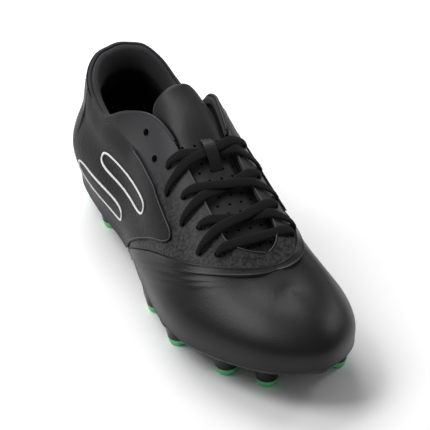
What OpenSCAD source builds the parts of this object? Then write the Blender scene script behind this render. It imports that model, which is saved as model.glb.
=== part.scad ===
// Soccer cleat, right foot, laced and standing on its studs.
// Toe at -Y, heel at +Y, inner side at +X, ground at z = 0. All sizes in millimetres.

/* [Overall] */
// Length of the upper at the feather line, toe to heel
boot_length = 283; // [260:1:310]
// Width of the upper at the ball of the foot
ball_width = 97; // [88:1:106]
// Height of the instep ridge above the ground at the middle of the lacing
instep_height = 91; // [86:1:98]
// Height of the feather line, where the upper meets the plate, at the ball
feather_height = 18; // [16:0.5:21]

/* [Upper] */
// Thickness of the main shell (vamp, midfoot and rear quarters)
shell_t = 1.8; // [1.2:0.1:2.2]
// Thickness of the overlays on top of the shell
overlay_t = 0.9; // [0.6:0.1:1.2]
// Thickness of the stiffeners behind the shell
stiffener_t = 1.4; // [1:0.1:1.6]
// Thickness of the linings
lining_t = 0.8; // [0.6:0.1:1]
// Thickness of the collar padding at its fullest
collar_pad_t = 5; // [3:0.5:6]
// Air left between neighbouring layers
layer_gap = 0.3; // [0.25:0.05:0.4]

/* [Tongue] */
// Thickness of the tongue's face and of its lining
tongue_skin_t = 0.8; // [0.6:0.1:1]
// Thickness of the tongue's foam
tongue_foam_t = 2.4; // [1.5:0.1:3]
// Depth of the tongue's face under the surface of the upper, at the lacing
tongue_depth = 5.3; // [5.2:0.1:6.5]

/* [Lacing] */
// Radius of the punched eyelets
eyelet_r = 2.5; // [2.2:0.1:2.8]
// Width of the flat lace
lace_width = 6.4; // [5.5:0.1:6.8]
// Thickness of the flat lace
lace_t = 1.4; // [1:0.1:1.6]

/* [Sole] */
// Thickness of the plate at its edge
plate_edge_t = 3; // [2:0.5:4]
// Thickness of the plate under the foot
plate_t = 4.5; // [3.5:0.5:6]
// How far the plate's rim stands out from the upper
plate_rim = 0.8; // [0.4:0.1:1.2]
// Radius of a stud at the ground
stud_tip_r = 5.6; // [4.5:0.1:6]
// Radius of a stud where it leaves the plate
stud_root_r = 10; // [8:0.5:11]
// Height of the coloured tip of a stud
stud_tip_h = 4.5; // [3:0.5:6]
// Thickness of the lasting board
board_t = 1.6; // [1.2:0.2:2]
// Thickness of the sockliner at the heel
sockliner_t = 4.5; // [3:0.5:6]

/* [Side motif] */
// Width of the raised line
motif_line = 1.3; // [1:0.1:1.8]
// Height of the raised line
motif_t = 0.35; // [0.25:0.05:0.5]

/* [Hidden] */
STUDS = [[-25, 119], [17, 118], [-29, 83], [19, 82], [-40, -14], [-42, -50], [-28.5, -88], [-12, -108],
         [32, -108], [33, -73], [30, -36], [-3, -64]];

// ---- The shape of the last -------------------------------------------------------------------
// The foot shape is a net of stations k, 0 at the back of the heel to 9 at the tip of the toe.
// Across it v runs from -1 at the outer feather line over the ridge at 0 to 1 at the inner one.
// d is the depth under the outer surface.
OUTER_SIDE = [[-2, 140], [-21, 133.5], [-37, 110], [-41, 75], [-41, 32],
              [-48.5, -11], [-53, -57], [-45, -91], [-22, -128], [7, -143]];
INNER_SIDE = [[-2, 140], [17, 133.5], [29, 110], [30, 72], [38, 30],
              [42, -16], [43, -60], [44.5, -98], [33, -127], [7, -143]];
RIDGE_X = [-2, -2, -2, 0, 1, 0, 3, 5, 5, 5];
RIDGE_Z = [150, 150, 148, 140, 116, 91, 73, 60.5, 55.5, 54.5];
FEATHER_RISE = [4, 4, 3, 2, 1, 0, 0, 2, 6, 9];
FULL_SIDE = [0.87, 0.87, 0.85, 0.84, 0.83, 0.82, 0.81, 0.78, 0.76, 0.75];
FULL_TOP = [0.75, 0.75, 0.81, 0.93, 0.98, 0.99, 0.94, 0.87, 0.81, 0.8];
BULGE = [5, 5, 5.7, 4.6, 3, 2, 2, 1.5, 1.8, 2];
BULGE_TOP = [56, 56, 54, 50, 44, 36, 32, 30, 28, 26];
width_scale = ball_width / 97;
length_scale = boot_length / 283;
height_scale = instep_height / 91;
ridge_mid = 2 * length_scale;
ridge_reach = 104 * length_scale;
centre_x = -4.06 * width_scale;
centre_y = 0.9 * length_scale;
toe_k = 9;

// A smooth curve through the values of list at 0, 1, 2...; other continues it past both ends.
function through(list, other, t) =
    let(n = len(list), i = max(0, min(n - 2, floor(t))), f = t - i,
        p0 = i == 0 ? other[1] : list[i - 1], p1 = list[i], p2 = list[i + 1],
        p3 = i == n - 2 ? other[n - 2] : list[i + 2])
    0.5 * (2 * p1 + (p2 - p0) * f + (2 * p0 - 5 * p1 + 4 * p2 - p3) * f * f
           + (3 * p1 - p0 - 3 * p2 + p3) * f * f * f);
function along(list, t) = through(list, list, t);
function side_xy(k, outer) =
    let(p = outer ? through(OUTER_SIDE, INNER_SIDE, k) : through(INNER_SIDE, OUTER_SIDE, k))
    [p.x * width_scale - centre_x, p.y * length_scale - centre_y];
function ridge_xy(k) =
    let(m = (side_xy(k, true).y + side_xy(k, false).y) / 2, s = (m - ridge_mid) / ridge_reach)
    [along(RIDGE_X, k) * width_scale - centre_x, ridge_mid + ridge_reach * s / pow(1 + pow(abs(s), 3), 1 / 3)];
function inset_xy(k, outer, d) =
    let(edge = side_xy(k, outer), ridge = ridge_xy(k), reach = norm(edge - ridge))
    ridge + (edge - ridge) * (reach - d) / reach;
function feather_z(k) = feather_height + along(FEATHER_RISE, k);
function skin(k, v, d = 0) =
    let(edge = side_xy(k, v < 0), ridge = ridge_xy(k), run = edge - ridge, reach = norm(run),
        low = feather_z(k), top = along(RIDGE_Z, k) * height_scale - d, t = 90 * (1 - abs(v)),
        z = low + (top - low) * pow(sin(t), along(FULL_TOP, k)),
        q = max(0, min(1, (z - low) / along(BULGE_TOP, k))),
        out = (pow(cos(t), along(FULL_SIDE, k)) * (reach - d)
               + along(BULGE, k) * pow(sin(180 * q), 2)) / reach)
    [ridge.x + run.x * out, ridge.y + run.y * out, z];

// Place across the net that lies a height h above the feather line
function v_at(k, h, d = 0) =
    let(low = feather_z(k), top = along(RIDGE_Z, k) * height_scale - d)
    1 - asin(pow(min(1, h / (top - low)), 1 / along(FULL_TOP, k))) / 90;

// ---- Edges of the panels ---------------------------------------------------------------------
// Edge of the foot opening and of the throat, every half station from the heel
RIM_OUTER = [0.67, 0.68, 0.68, 0.68, 0.67, 0.66, 0.64, 0.5, 0.32, 0.22, 0.18, 0.17, 0.17, 0.17];
RIM_INNER = [0.67, 0.68, 0.69, 0.72, 0.76, 0.75, 0.69, 0.5, 0.32, 0.22, 0.18, 0.17, 0.17, 0.17];
throat_end = 6.6;
throat_round = 0.5;
function rim_v(k, outer) =
    let(centre = outer ? band_side : -band_side, side = along(outer ? RIM_OUTER : RIM_INNER, 2 * min(k, 6.4)),
        f = max(0, (k - throat_end + throat_round) / throat_round))
    centre + (side - centre) * sqrt(max(0, 1 - f * f));
// The throat band runs over the toe end of the throat and down both sides
band_peak = 7.33;
band_width = 0.27;
band_slope = 3.14;
band_power = 1.3;
band_side = 0.05;
function vamp_k(v) = band_peak - band_slope * pow(abs(v + band_side), band_power);
function band_k(v) = vamp_k(v) - band_width;
function band_v(k, outer) =
    let(s = pow(max(0, band_peak - band_width - k) / band_slope, 1 / band_power))
    min(1, outer ? s + band_side : s - band_side);
midfoot_start = 3.4;
midfoot_tip = band_peak - band_width;
// Side panel: its top edge starts at the collar and runs forward under the eyelets
panel_tip = 5.5;
function panel_top(k, outer) =
    k < 3 ? rim_v(k, outer) : let(f = min(1, (k - 3) / 1.7)) rim_v(3, outer) * (1 - f) + 0.48 * f;
function panel_low(k, outer) =
    let(start = outer ? 4.1 : 3.65, f = max(0, (k - start) / (panel_tip - start)))
    1 - (outer ? 0.44 : 0.5) * pow(f, 1.03);

// ---- Building blocks -------------------------------------------------------------------------
function mix(a, b, f) = a + (b - a) * f;
function steps(a, b, n) = [for (i = [0 : n]) mix(a, b, i / n)];
function reversed(list) = [for (i = [len(list) - 1 : -1 : 0]) list[i]];
function ease(f) = let(g = max(0, min(1, f))) g * g * (3 - 2 * g);

// Closed solid between two nets of points, rows by columns. closed_end folds the last row over
// its middle and joins it to itself, as at the toe.
module net(outside, inside, closed_end = false) {
    rows = len(outside);
    cols = len(outside[0]);
    size = rows * cols;
    function id(r, c) = r * cols + (closed_end && r == rows - 1 ? min(c, cols - 1 - c) : c);
    function quad(a, b, c, d) =
        concat(a == b || b == c || a == c ? [] : [[a, b, c]], a == c || c == d || a == d ? [] : [[a, c, d]]);
    function wall(a, b) = quad(a, size + a, size + b, b);
    skins = [for (r = [0 : rows - 2], c = [0 : cols - 2])
        each concat(quad(id(r, c), id(r, c + 1), id(r + 1, c + 1), id(r + 1, c)),
                    quad(size + id(r, c), size + id(r + 1, c), size + id(r + 1, c + 1), size + id(r, c + 1)))];
    ends = [for (c = [0 : cols - 2])
        each concat(wall(id(0, c), id(0, c + 1)), closed_end ? [] : wall(id(rows - 1, c + 1), id(rows - 1, c)))];
    sides = [for (r = [0 : rows - 2])
        each concat(wall(id(r + 1, 0), id(r, 0)), wall(id(r, cols - 1), id(r + 1, cols - 1)))];
    polyhedron(points = [for (row = concat(outside, inside)) each row], faces = concat(skins, ends, sides));
}

// Piece on one side of the foot: rows along ks, columns from its top edge down to its low edge
module side_piece(ks, outer, top, low, cols, d0, d1) {
    sign = outer ? -1 : 1;
    function grid(d) = [for (k = ks)
        let(row = [for (f = steps(0, 1, cols)) skin(k, sign * mix(top(k), low(k), f), d)])
        outer ? reversed(row) : row];
    net(grid(d0), grid(d1));
}
// Piece that wraps the heel from the outer side to the inner side, d0 and d1 functions of k and f
module heel_piece(reach_k, n, top, low, fs, d0, d1) {
    function grid(depth) = [for (s = steps(-reach_k, reach_k, n))
        let(k = abs(s), outer = s < 0)
        [for (f = fs)
            skin(k, (outer ? -1 : 1) * mix(top(k, outer), low(k, outer), f), depth(k, f))]];
    net(grid(d0), grid(d1));
}
// Piece over the toe, from the curve start(v) to the tip of the toe
module toe_piece(start, low, cols, rows, d0, d1) {
    function grid(d) = [for (f = steps(0, 1, rows))
        [for (s = steps(-1, 1, cols)) let(k = mix(start(s), toe_k, 1 - pow(1 - f, 1.5))) skin(k, s * low(k), d)]];
    net(grid(d0), grid(d1), closed_end = true);
}
// Flat piece under the foot: inset from the feather line, z0 and z1 functions of k and of f across
module sole_piece(ks, fs, inset0, inset1, z0, z1) {
    function grid(inset, z) = [for (k = ks)
        let(p = inset_xy(k, true, inset), q = inset_xy(k, false, inset))
        [for (f = fs) let(c = mix(p, q, f)) [c.x, c.y, z(k, f)]]];
    net(grid(inset0, z0), grid(inset1, z1));
}

// ---- Depths and colours ----------------------------------------------------------------------
stiffener_d = shell_t + layer_gap;
lining_d = stiffener_d + stiffener_t + layer_gap;
overlay_gap = layer_gap + 0.1;
lining_in = lining_d + lining_t;
edge_gap = 0.003;
edge_k = 0.008;
vamp_colour = [0.07, 0.07, 0.08];
side_colour = [0.13, 0.13, 0.15];
grey_colour = [0.27, 0.27, 0.29];
lining_colour = [0.05, 0.05, 0.06];
foam_colour = [0.35, 0.35, 0.35];
tip_colour = [0.2, 0.62, 0.36];

// ---- Eyelets ---------------------------------------------------------------------------------
// Station and place across of each eyelet on the outer side, from the ankle to the toe
EYELETS = [[4.02, 0.42], [4.42, 0.42], [4.7, 0.32], [4.97, 0.4], [5.2, 0.29],
           [5.48, 0.38], [5.7, 0.28], [6.02, 0.37], [6.27, 0.26]];
inner_shift = [-0.1, 0.03];
function eyelet(i, outer) = outer ? EYELETS[i] : EYELETS[i] + inner_shift;
function normal(k, v) =
    let(u = skin(k + 0.05, v) - skin(k - 0.05, v), w = skin(k, v + 0.01) - skin(k, v - 0.01),
        n = cross(u, w))
    n / norm(n);
module eyelet_holes(outer, r = eyelet_r) {
    sign = outer ? -1 : 1;
    for (i = [0 : len(EYELETS) - 1]) {
        e = eyelet(i, outer);
        n = normal(e[0], sign * e[1]);
        translate(skin(e[0], sign * e[1], 0))
            rotate([0, acos(n.z), atan2(n.y, n.x)])
                translate([0, 0, -lining_in - 3]) cylinder(r = r, h = lining_in + 6, $fn = 20);
    }
}

// ---- The upper: shell and overlays -----------------------------------------------------------
midfoot_ks = concat(steps(midfoot_start, 6, 12), steps(6.12, midfoot_tip - 0.06, 7));
module vamp() {
    color(vamp_colour)
        toe_piece(function(v) vamp_k(v), function(k) 1, 36, 10, 0, shell_t);
}
module throat_band() {
    function strip(d) = [for (v = steps(-1, 1, 36)) [skin(vamp_k(v) - edge_k, v, d), skin(band_k(v), v, d)]];
    color(vamp_colour) net(strip(-overlay_t), strip(shell_t));
}
module midfoot(outer) {
    color(grey_colour) difference() {
        side_piece(midfoot_ks, outer, function(k) rim_v(k, outer) + edge_gap,
                   function(k) band_v(k, outer) - edge_gap, 6, 0, shell_t);
        eyelet_holes(outer);
    }
}
module rear_quarter(outer) {
    color(side_colour)
        side_piece(steps(0.01, midfoot_start - 0.01, 16), outer, function(k) rim_v(k, outer),
                   function(k) 1, 8, 0, shell_t);
}
heel_tab_k = 2.2;
heel_tab_h = 62;
function heel_tab_low(k) = v_at(k, heel_tab_h * (1 - 0.25 * pow(k / heel_tab_k, 2)));
module side_panel(outer) {
    top = function(k) k < heel_tab_k ? heel_tab_low(k) + edge_gap : panel_top(k, outer);
    ks = concat(steps(0.01, heel_tab_k - 0.01, 10), steps(heel_tab_k + 0.01, panel_tip - 0.04, 15));
    color(side_colour)
        side_piece(ks, outer, top, function(k) panel_low(k, outer), 8, -overlay_gap - overlay_t, -overlay_gap);
}
module heel_tab() {
    color(vamp_colour)
        heel_piece(heel_tab_k - 0.02, 22, function(k, outer) rim_v(k, outer),
                   function(k, outer) heel_tab_low(k), steps(0, 1, 3),
                   function(k, f) -overlay_gap - overlay_t, function(k, f) -overlay_gap);
}

// ---- The upper: stiffeners, padding and linings ----------------------------------------------
board_rise = layer_gap + board_t + 0.4;
counter_k = 2.6;
function counter_top(k) = v_at(k, 44 - 16 * pow(k / counter_k, 2));
module heel_counter() {
    color("dimgray")
        heel_piece(counter_k, 26,
                   function(k, outer) max(counter_top(k), rim_v(k, outer) + pad_reach + 0.02),
                   function(k, outer) v_at(k, board_rise), steps(0, 1, 5),
                   function(k, f) stiffener_d, function(k, f) stiffener_d + stiffener_t);
}
module toe_puff() {
    color("dimgray")
        toe_piece(function(v) 7.7, function(k) v_at(k, board_rise), 36, 7,
                  stiffener_d + 0.1, stiffener_d + stiffener_t * 0.7);
}
// The collar padding is fullest in the middle of its height and dies out towards the eyelets
pad_reach = 0.15;
pad_k = 3.5;
pad_rows = 26;
PAD_FS = [0.1, 0.3, 0.5, 0.7, 0.95];
function pad_t(k, f) = 0.6 + collar_pad_t * sin(180 * f) * (1 - 0.75 * ease((k - 2.6) / 0.9));
module collar_foam() {
    color(foam_colour)
        heel_piece(pad_k, pad_rows, function(k, outer) rim_v(k, outer),
                   function(k, outer) rim_v(k, outer) + pad_reach, PAD_FS,
                   function(k, f) stiffener_d, function(k, f) stiffener_d + pad_t(k, f));
}
// Rolled edge of the lining, just above the padding
module collar_topline() {
    color(lining_colour)
        heel_piece(pad_k, pad_rows, function(k, outer) rim_v(k, outer) - 0.022,
                   function(k, outer) rim_v(k, outer) + 0.01, [0, 0.5, 1],
                   function(k, f) stiffener_d, function(k, f) stiffener_d + 1.2 + 1.2 * sin(180 * f));
}
module heel_lining() {
    function grid(extra) = [for (s = steps(-pad_k, pad_k, pad_rows))
        let(k = abs(s), outer = s < 0, a = rim_v(k, outer), b = v_at(k, board_rise, lining_d))
        concat(
            [for (f = PAD_FS) skin(k, (outer ? -1 : 1) * (a + pad_reach * f),
                                   max(lining_d, stiffener_d + pad_t(k, f) + layer_gap) + extra)],
            [for (f = [0.35, 0.7, 1]) skin(k, (outer ? -1 : 1) * mix(a + pad_reach, b, f), lining_d + extra)])];
    color(lining_colour) net(grid(0), grid(lining_t));
}
module midfoot_lining(outer) {
    ks = concat(steps(pad_k + 0.03, 6, 10), steps(6.2, midfoot_tip - 0.3, 4));
    color(lining_colour) difference() {
        side_piece(ks, outer, function(k) rim_v(k, outer) + 0.01,
                   function(k) min(v_at(k, board_rise, lining_d), band_v(k, outer) - 0.03), 6, lining_d, lining_in);
        eyelet_holes(outer, eyelet_r + 0.8);
    }
}
module vamp_lining() {
    color(lining_colour)
        toe_piece(function(v) band_k(v), function(k) v_at(k, board_rise, lining_d), 28, 6, lining_d, lining_in);
}
stay_d = stiffener_d + 0.2;
stay_t = 0.8;
module eyelet_stay(outer) {
    color(lining_colour) difference() {
        side_piece(steps(3.75, 6.3, 14), outer, function(k) rim_v(k, outer) + 0.02,
                   function(k) rim_v(k, outer) + 0.27, 4, stay_d, stay_d + stay_t);
        eyelet_holes(outer, eyelet_r + 0.4);
    }
}

// ---- Tongue ----------------------------------------------------------------------------------
fold_k = 4.42;
fold_half_gap = 0.04;
tongue_toe_k = 6.95;
tongue_top_k = 3.62;
tongue_all_t = 2 * tongue_skin_t + tongue_foam_t + 2 * layer_gap;
function tongue_d(k) = tongue_depth + 5.5 * ease((fold_k - k) / 0.9);
function tongue_half(k) =
    k > fold_k ? 0.22 : (rim_v(k, true) - 0.02) * (k < 3.7 ? 0.7 : k < 3.78 ? 0.9 : 1);
lower_ks = steps(fold_k + fold_half_gap, tongue_toe_k, 10);
upper_ks = concat([tongue_top_k, 3.72], steps(3.78, fold_k - fold_half_gap, 6));
module tongue_layer(ks, from, thick) {
    function grid(d) = [for (k = ks) [for (f = steps(-1, 1, 8)) skin(k, f * tongue_half(k), tongue_d(k) + d)]];
    net(grid(from), grid(from + thick));
}
tongue_foam_d = tongue_skin_t + layer_gap;
tongue_lining_d = tongue_foam_d + tongue_foam_t + layer_gap;
module tongue_face(ks) { color(side_colour) tongue_layer(ks, 0, tongue_skin_t); }
module tongue_foam(ks) { color(foam_colour) tongue_layer(ks, tongue_foam_d, tongue_foam_t); }
module tongue_lining(ks) { color(lining_colour) tongue_layer(ks, tongue_lining_d, tongue_skin_t); }
// Strip on the middle of the tongue that holds the lace
keeper_k = [4.55, 5];
keeper_half = 0.035;
module lace_keeper() {
    function grid(t) = [for (k = steps(keeper_k[0], keeper_k[1], 8))
        let(f = (k - keeper_k[0]) / (keeper_k[1] - keeper_k[0]))
        [for (v = steps(-keeper_half, keeper_half, 2)) skin(k, v, tongue_depth - 0.15 - 6 * sin(180 * f) - t)]];
    color(lining_colour) net(grid(0.7), grid(0));
}

// ---- Sole ------------------------------------------------------------------------------------
sole_ks = concat([0.04, 0.2, 0.5], steps(0.8, 8.2, 16), [8.5, 8.8, 8.96]);
sole_fs = [0, 0.08, 0.25, 0.5, 0.75, 0.92, 1];
function dish(f) = pow(abs(2 * f - 1), 3);
module plate_body() {
    sole_piece(sole_ks, sole_fs, -plate_rim, 2.5, function(k, f) feather_z(k) - 0.05,
               function(k, f) feather_z(k) - mix(plate_t, plate_edge_t, dish(f)));
}
// Station of a place along the sole
STATION_AT = [for (k = [0 : 0.5 : 9]) [-(side_xy(k, true).y + side_xy(k, false).y) / 2, k]];
function stud_root_z(p) = feather_z(lookup(-p.y, STATION_AT)) - 1.5;
module stud_post(p) {
    translate([p.x, p.y, stud_tip_h])
        cylinder(r1 = stud_tip_r + 0.9, r2 = stud_root_r, h = stud_root_z(p) - stud_tip_h, $fn = 28);
}
module stud_tip(p) {
    translate([p.x, p.y, 0])
        cylinder(r1 = stud_tip_r, r2 = stud_tip_r + 0.9, h = stud_tip_h, $fn = 28);
}
function stud_at(i) = [STUDS[i].x * width_scale - centre_x, STUDS[i].y * length_scale - centre_y];
module outsole_plate() {
    color(vamp_colour) union() {
        plate_body();
        for (i = [0 : len(STUDS) - 1]) stud_post(stud_at(i));
    }
}
board_side_gap = 0.8;
module lasting_board() {
    color([0.8, 0.78, 0.72])
        sole_piece(sole_ks, [0, 0.25, 0.5, 0.75, 1], shell_t + board_side_gap, shell_t + board_side_gap,
                   function(k, f) feather_z(k) + layer_gap + board_t, function(k, f) feather_z(k) + layer_gap);
}
sockliner_rise = layer_gap + board_t + layer_gap;
sockliner_side_gap = 2.2 * width_scale;
module sockliner() {
    function thick(k) = sockliner_t * mix(1, 0.7, ease((k - 2) / 4));
    color(lining_colour)
        sole_piece(sole_ks, steps(0, 1, 8), lining_in + sockliner_side_gap, lining_in + sockliner_side_gap,
                   function(k, f) feather_z(k) + sockliner_rise + thick(k) + 2 * dish(f),
                   function(k, f) feather_z(k) + sockliner_rise);
}

// ---- Lace ------------------------------------------------------------------------------------
// The lace starts at one aglet, lies folded in a hank inside the forefoot, comes out of the third
// eyelet from the top and crosses down to the toe and back up, and ends in the other hank.
// Each stop is [eyelet, side, out]: side -1 outer or 1 inner, out 1 where the lace comes out.
STOPS = [[2, -1, 1], [3, 1, -1], [4, 1, 1], [5, -1, -1], [6, -1, 1], [7, 1, -1], [8, 1, 1],
         [8, -1, -1], [7, -1, 1], [6, 1, -1], [5, 1, 1], [4, -1, -1], [3, -1, 1], [2, 1, -1]];
// Depth of a crossing at the throat's middle: the first runs lie under, the second ones on top
function crossing_d(i) = i < 7 ? 2.6 : i == 7 ? 2 : 0.8;
over_d = -lace_t / 2 - 0.3;
under_depth = lining_in + 0.4 + lace_t / 2;
over_height = lace_t / 2 + 0.9;
hole_width = 3;
function stop_kv(s) = let(e = eyelet(s[0], s[1] < 0)) [e[0], s[1] * e[1]];
function sized(p, width) = [p.x, p.y, p.z, width];
// Points of one pass through an eyelet, from where the lace comes to where it goes
function pass(s) =
    let(p = stop_kv(s), n = normal(p[0], p[1]), top = skin(p[0], p[1]),
        below = sized(top - n * under_depth, hole_width), above = sized(top + n * over_height, hole_width + 0.6))
    s[2] > 0 ? [below, above] : [above, below];
// Points of a crossing between two eyelets over the tongue
rim_rest_v = 0.2;
rim_lift = 0.7;
bridge_v = 0.11;
function crossing(s, t, deep) =
    let(p = stop_kv(s), q = stop_kv(t), go = s[1])
    [for (c = [[rim_rest_v * go, over_d - rim_lift], [bridge_v * go, mix(over_d, deep, 0.4)], [0, deep],
               [-bridge_v * go, mix(over_d, deep, 0.4)], [-rim_rest_v * go, over_d - rim_lift]])
        sized(skin(mix(p[0], q[0], (p[1] - c[0]) / (p[1] - q[1])), c[0], c[1]), lace_width)];
threaded = [for (i = [0 : len(STOPS) - 1])
    each concat(pass(STOPS[i]),
                STOPS[i][2] > 0 ? crossing(STOPS[i], STOPS[i + 1], crossing_d(i)) : [])];
// Inside, from the hank up the wall to the third eyelet: [k, v, depth, width]
WALL_RUN = [[4.42, 0.76, 9, 4], [4.5, 0.64, 7, 4], [4.6, 0.52, 6.5, 4], [4.67, 0.41, 6, 4]];
// The bend from the hank's heel end to the wall, [x, y, z, width], mirrored for the inner side
HANK_BEND = [[19, 25.2, 29, 5], [19.5, 31, 29.5, 5], [23, 35, 33, 5], [29, 33, 38, 4]];
hank_x = 16;
hank_y = [-76, 25];
hank_half = 7;
hank_run = 7;
hank_h = 6.6;
hank_z = feather_height + sockliner_rise + sockliner_t + 0.9;
function end_run(side) =
    concat([for (p = HANK_BEND) [side * p[0], p[1], p[2] + hank_z - 25.4, p[3]]],
           [for (p = WALL_RUN) sized(skin(p[0], side * p[1], p[2]), p[3])]);
lace_route = concat(end_run(-1), threaded, reversed(end_run(1)));
ridge_run = [0, -0.906, -0.423];
module ribbon(route, thick, sides) {
    n = len(route);
    points = [for (p = route) [p[0], p[1], p[2]]];
    rings = [for (i = [0 : n - 1])
        let(t0 = points[min(n - 1, i + 1)] - points[max(0, i - 1)], t = t0 / norm(t0),
            w0 = ridge_run - (ridge_run * t) * t, w = w0 / norm(w0), u = cross(t, w))
        [for (j = [0 : sides - 1])
            let(a = 360 * j / sides + 180 / sides)
            points[i] + w * route[i][3] / 2 * cos(a) / cos(180 / sides) + u * thick / 2 * sin(a) / cos(180 / sides)]];
    faces = concat(
        [for (i = [0 : n - 2], j = [0 : sides - 1])
            let(a = i * sides + j, b = i * sides + (j + 1) % sides)
            each [[a, a + sides, b], [b, a + sides, b + sides]]],
        [[for (j = [0 : sides - 1]) j]], [[for (j = [sides - 1 : -1 : 0]) (n - 1) * sides + j]]);
    polyhedron(points = [for (r = rings) each r], faces = faces);
}
module lace() { color(lining_colour) ribbon(lace_route, lace_t, 8); }
module hank(side) {
    color(lining_colour) translate([side * hank_x, 0, hank_z]) linear_extrude(hank_h) union() {
        translate([-hank_half, hank_y[0] + hank_half]) square([2 * hank_half, hank_y[1] - hank_y[0] - 2 * hank_half]);
        translate([0, hank_y[0] + hank_half]) circle(hank_half, $fn = 32);
        translate([0, hank_y[1] - hank_half]) circle(hank_half, $fn = 32);
    }
}
aglet_r = 1.6;
aglet_length = 20;
module aglet(side) {
    color("black") translate([side * (hank_x - hank_run / 2), hank_y[1] + 0.2, hank_z + hank_h / 2])
        rotate([-90, 0, 0]) cylinder(r = aglet_r, h = aglet_length, $fn = 24);
}

// ---- Side motif ------------------------------------------------------------------------------
// Two long rounded outlines: [station, height above the feather, half length, half height]
MOTIF = [[3.95, 42, 33, 5.5], [3.3, 22, 34, 5.5]];
station_length = 43;
motif_rise = overlay_gap + 0.3;
motif_points = 44;
function soft_power(x, p) = sign(x) * pow(abs(x), p);
module side_motif(outer) {
    color("silver") for (m = MOTIF) {
        rings = [for (i = [0 : motif_points - 1])
            let(a = 360 * i / motif_points, ca = soft_power(cos(a), 0.35), sa = soft_power(sin(a), 0.8))
            [for (c = [[0, 0], [1, 0], [1, 1], [0, 1]])
                let(w = c[0] * motif_line, k = m[0] - ca * (m[2] - w) / station_length, h = m[1] + sa * (m[3] - w))
                skin(k, (outer ? -1 : 1) * v_at(k, h), -overlay_t - motif_rise - c[1] * motif_t)]];
        faces = [for (i = [0 : motif_points - 1], j = [0 : 3])
            let(n = (i + 1) % motif_points, a = i * 4 + j, b = i * 4 + (j + 1) % 4, c = n * 4 + (j + 1) % 4, d = n * 4 + j)
            each (outer ? [[a, b, c], [a, c, d]] : [[a, c, b], [a, d, c]])];
        polyhedron(points = [for (r = rings) each r], faces = faces);
    }
}

// ---- Assembly --------------------------------------------------------------------------------
outsole_plate();
for (i = [0 : len(STUDS) - 1])
    color(tip_colour) stud_tip(stud_at(i));
lasting_board();
sockliner();
vamp();
throat_band();
midfoot(true);  // midfoot_lateral
midfoot(false);  // midfoot_medial
rear_quarter(true);  // rear_quarter_lateral
rear_quarter(false);  // rear_quarter_medial
side_panel(true);  // side_panel_lateral
side_panel(false);  // side_panel_medial
heel_tab();
heel_counter();
toe_puff();
collar_foam();
collar_topline();
heel_lining();
midfoot_lining(true);  // midfoot_lining_lateral
midfoot_lining(false);  // midfoot_lining_medial
vamp_lining();
eyelet_stay(true);  // eyelet_stay_lateral
eyelet_stay(false);  // eyelet_stay_medial
tongue_face(lower_ks);  // tongue_face_lower
tongue_foam(lower_ks);  // tongue_foam_lower
tongue_lining(lower_ks);  // tongue_lining_lower
tongue_face(upper_ks);  // tongue_face_upper
tongue_foam(upper_ks);  // tongue_foam_upper
tongue_lining(upper_ks);  // tongue_lining_upper
lace_keeper();
lace();
hank(-1);  // lace_hank_lateral
hank(1);  // lace_hank_medial
aglet(-1);  // aglet_lateral
aglet(1);  // aglet_medial
side_motif(true);  // side_motif_lateral
side_motif(false);  // side_motif_medial
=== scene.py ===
# %% [markdown]
# # A laced soccer cleat
# The boot is a thin skin pulled over a foot-shaped last and glued to a moulded plate with studs.
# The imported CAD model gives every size, so this lesson only adds what CAD leaves plain: rounded
# edges, padding, weave, stitches and finishes. We load the CAD model first and never move it.

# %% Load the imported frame
import math

import bmesh
import bpy
import numpy as np
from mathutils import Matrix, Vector
from mathutils.kdtree import KDTree


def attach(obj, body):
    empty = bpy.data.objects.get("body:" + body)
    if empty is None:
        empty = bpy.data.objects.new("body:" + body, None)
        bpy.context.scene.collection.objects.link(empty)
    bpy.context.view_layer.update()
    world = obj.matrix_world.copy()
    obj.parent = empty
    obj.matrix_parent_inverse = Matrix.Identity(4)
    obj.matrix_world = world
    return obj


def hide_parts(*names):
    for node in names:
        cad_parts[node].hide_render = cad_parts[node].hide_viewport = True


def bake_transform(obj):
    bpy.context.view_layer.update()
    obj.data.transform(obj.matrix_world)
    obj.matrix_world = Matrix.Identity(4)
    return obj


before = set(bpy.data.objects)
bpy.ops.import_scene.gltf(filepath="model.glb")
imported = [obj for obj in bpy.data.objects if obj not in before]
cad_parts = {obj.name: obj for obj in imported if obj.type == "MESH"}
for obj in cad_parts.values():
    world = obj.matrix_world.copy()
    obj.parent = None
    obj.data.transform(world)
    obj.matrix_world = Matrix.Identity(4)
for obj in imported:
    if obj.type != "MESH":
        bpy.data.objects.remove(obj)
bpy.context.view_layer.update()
BOOT, TONGUE_TOP = "boot", "tongue_top"

# %% [markdown]
# ## The last
# A real upper takes its shape from the last, a solid foot form. We could sculpt one, but a formula
# keeps every panel on exactly the same surface. A place on it has a station k (0 at the heel, 9 at
# the toe), a place across v (-1 at the outer sole edge, 0 on the ridge, 1 at the inner edge) and a
# depth d under the skin in millimetres. The numbers are those of the CAD source.

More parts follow.
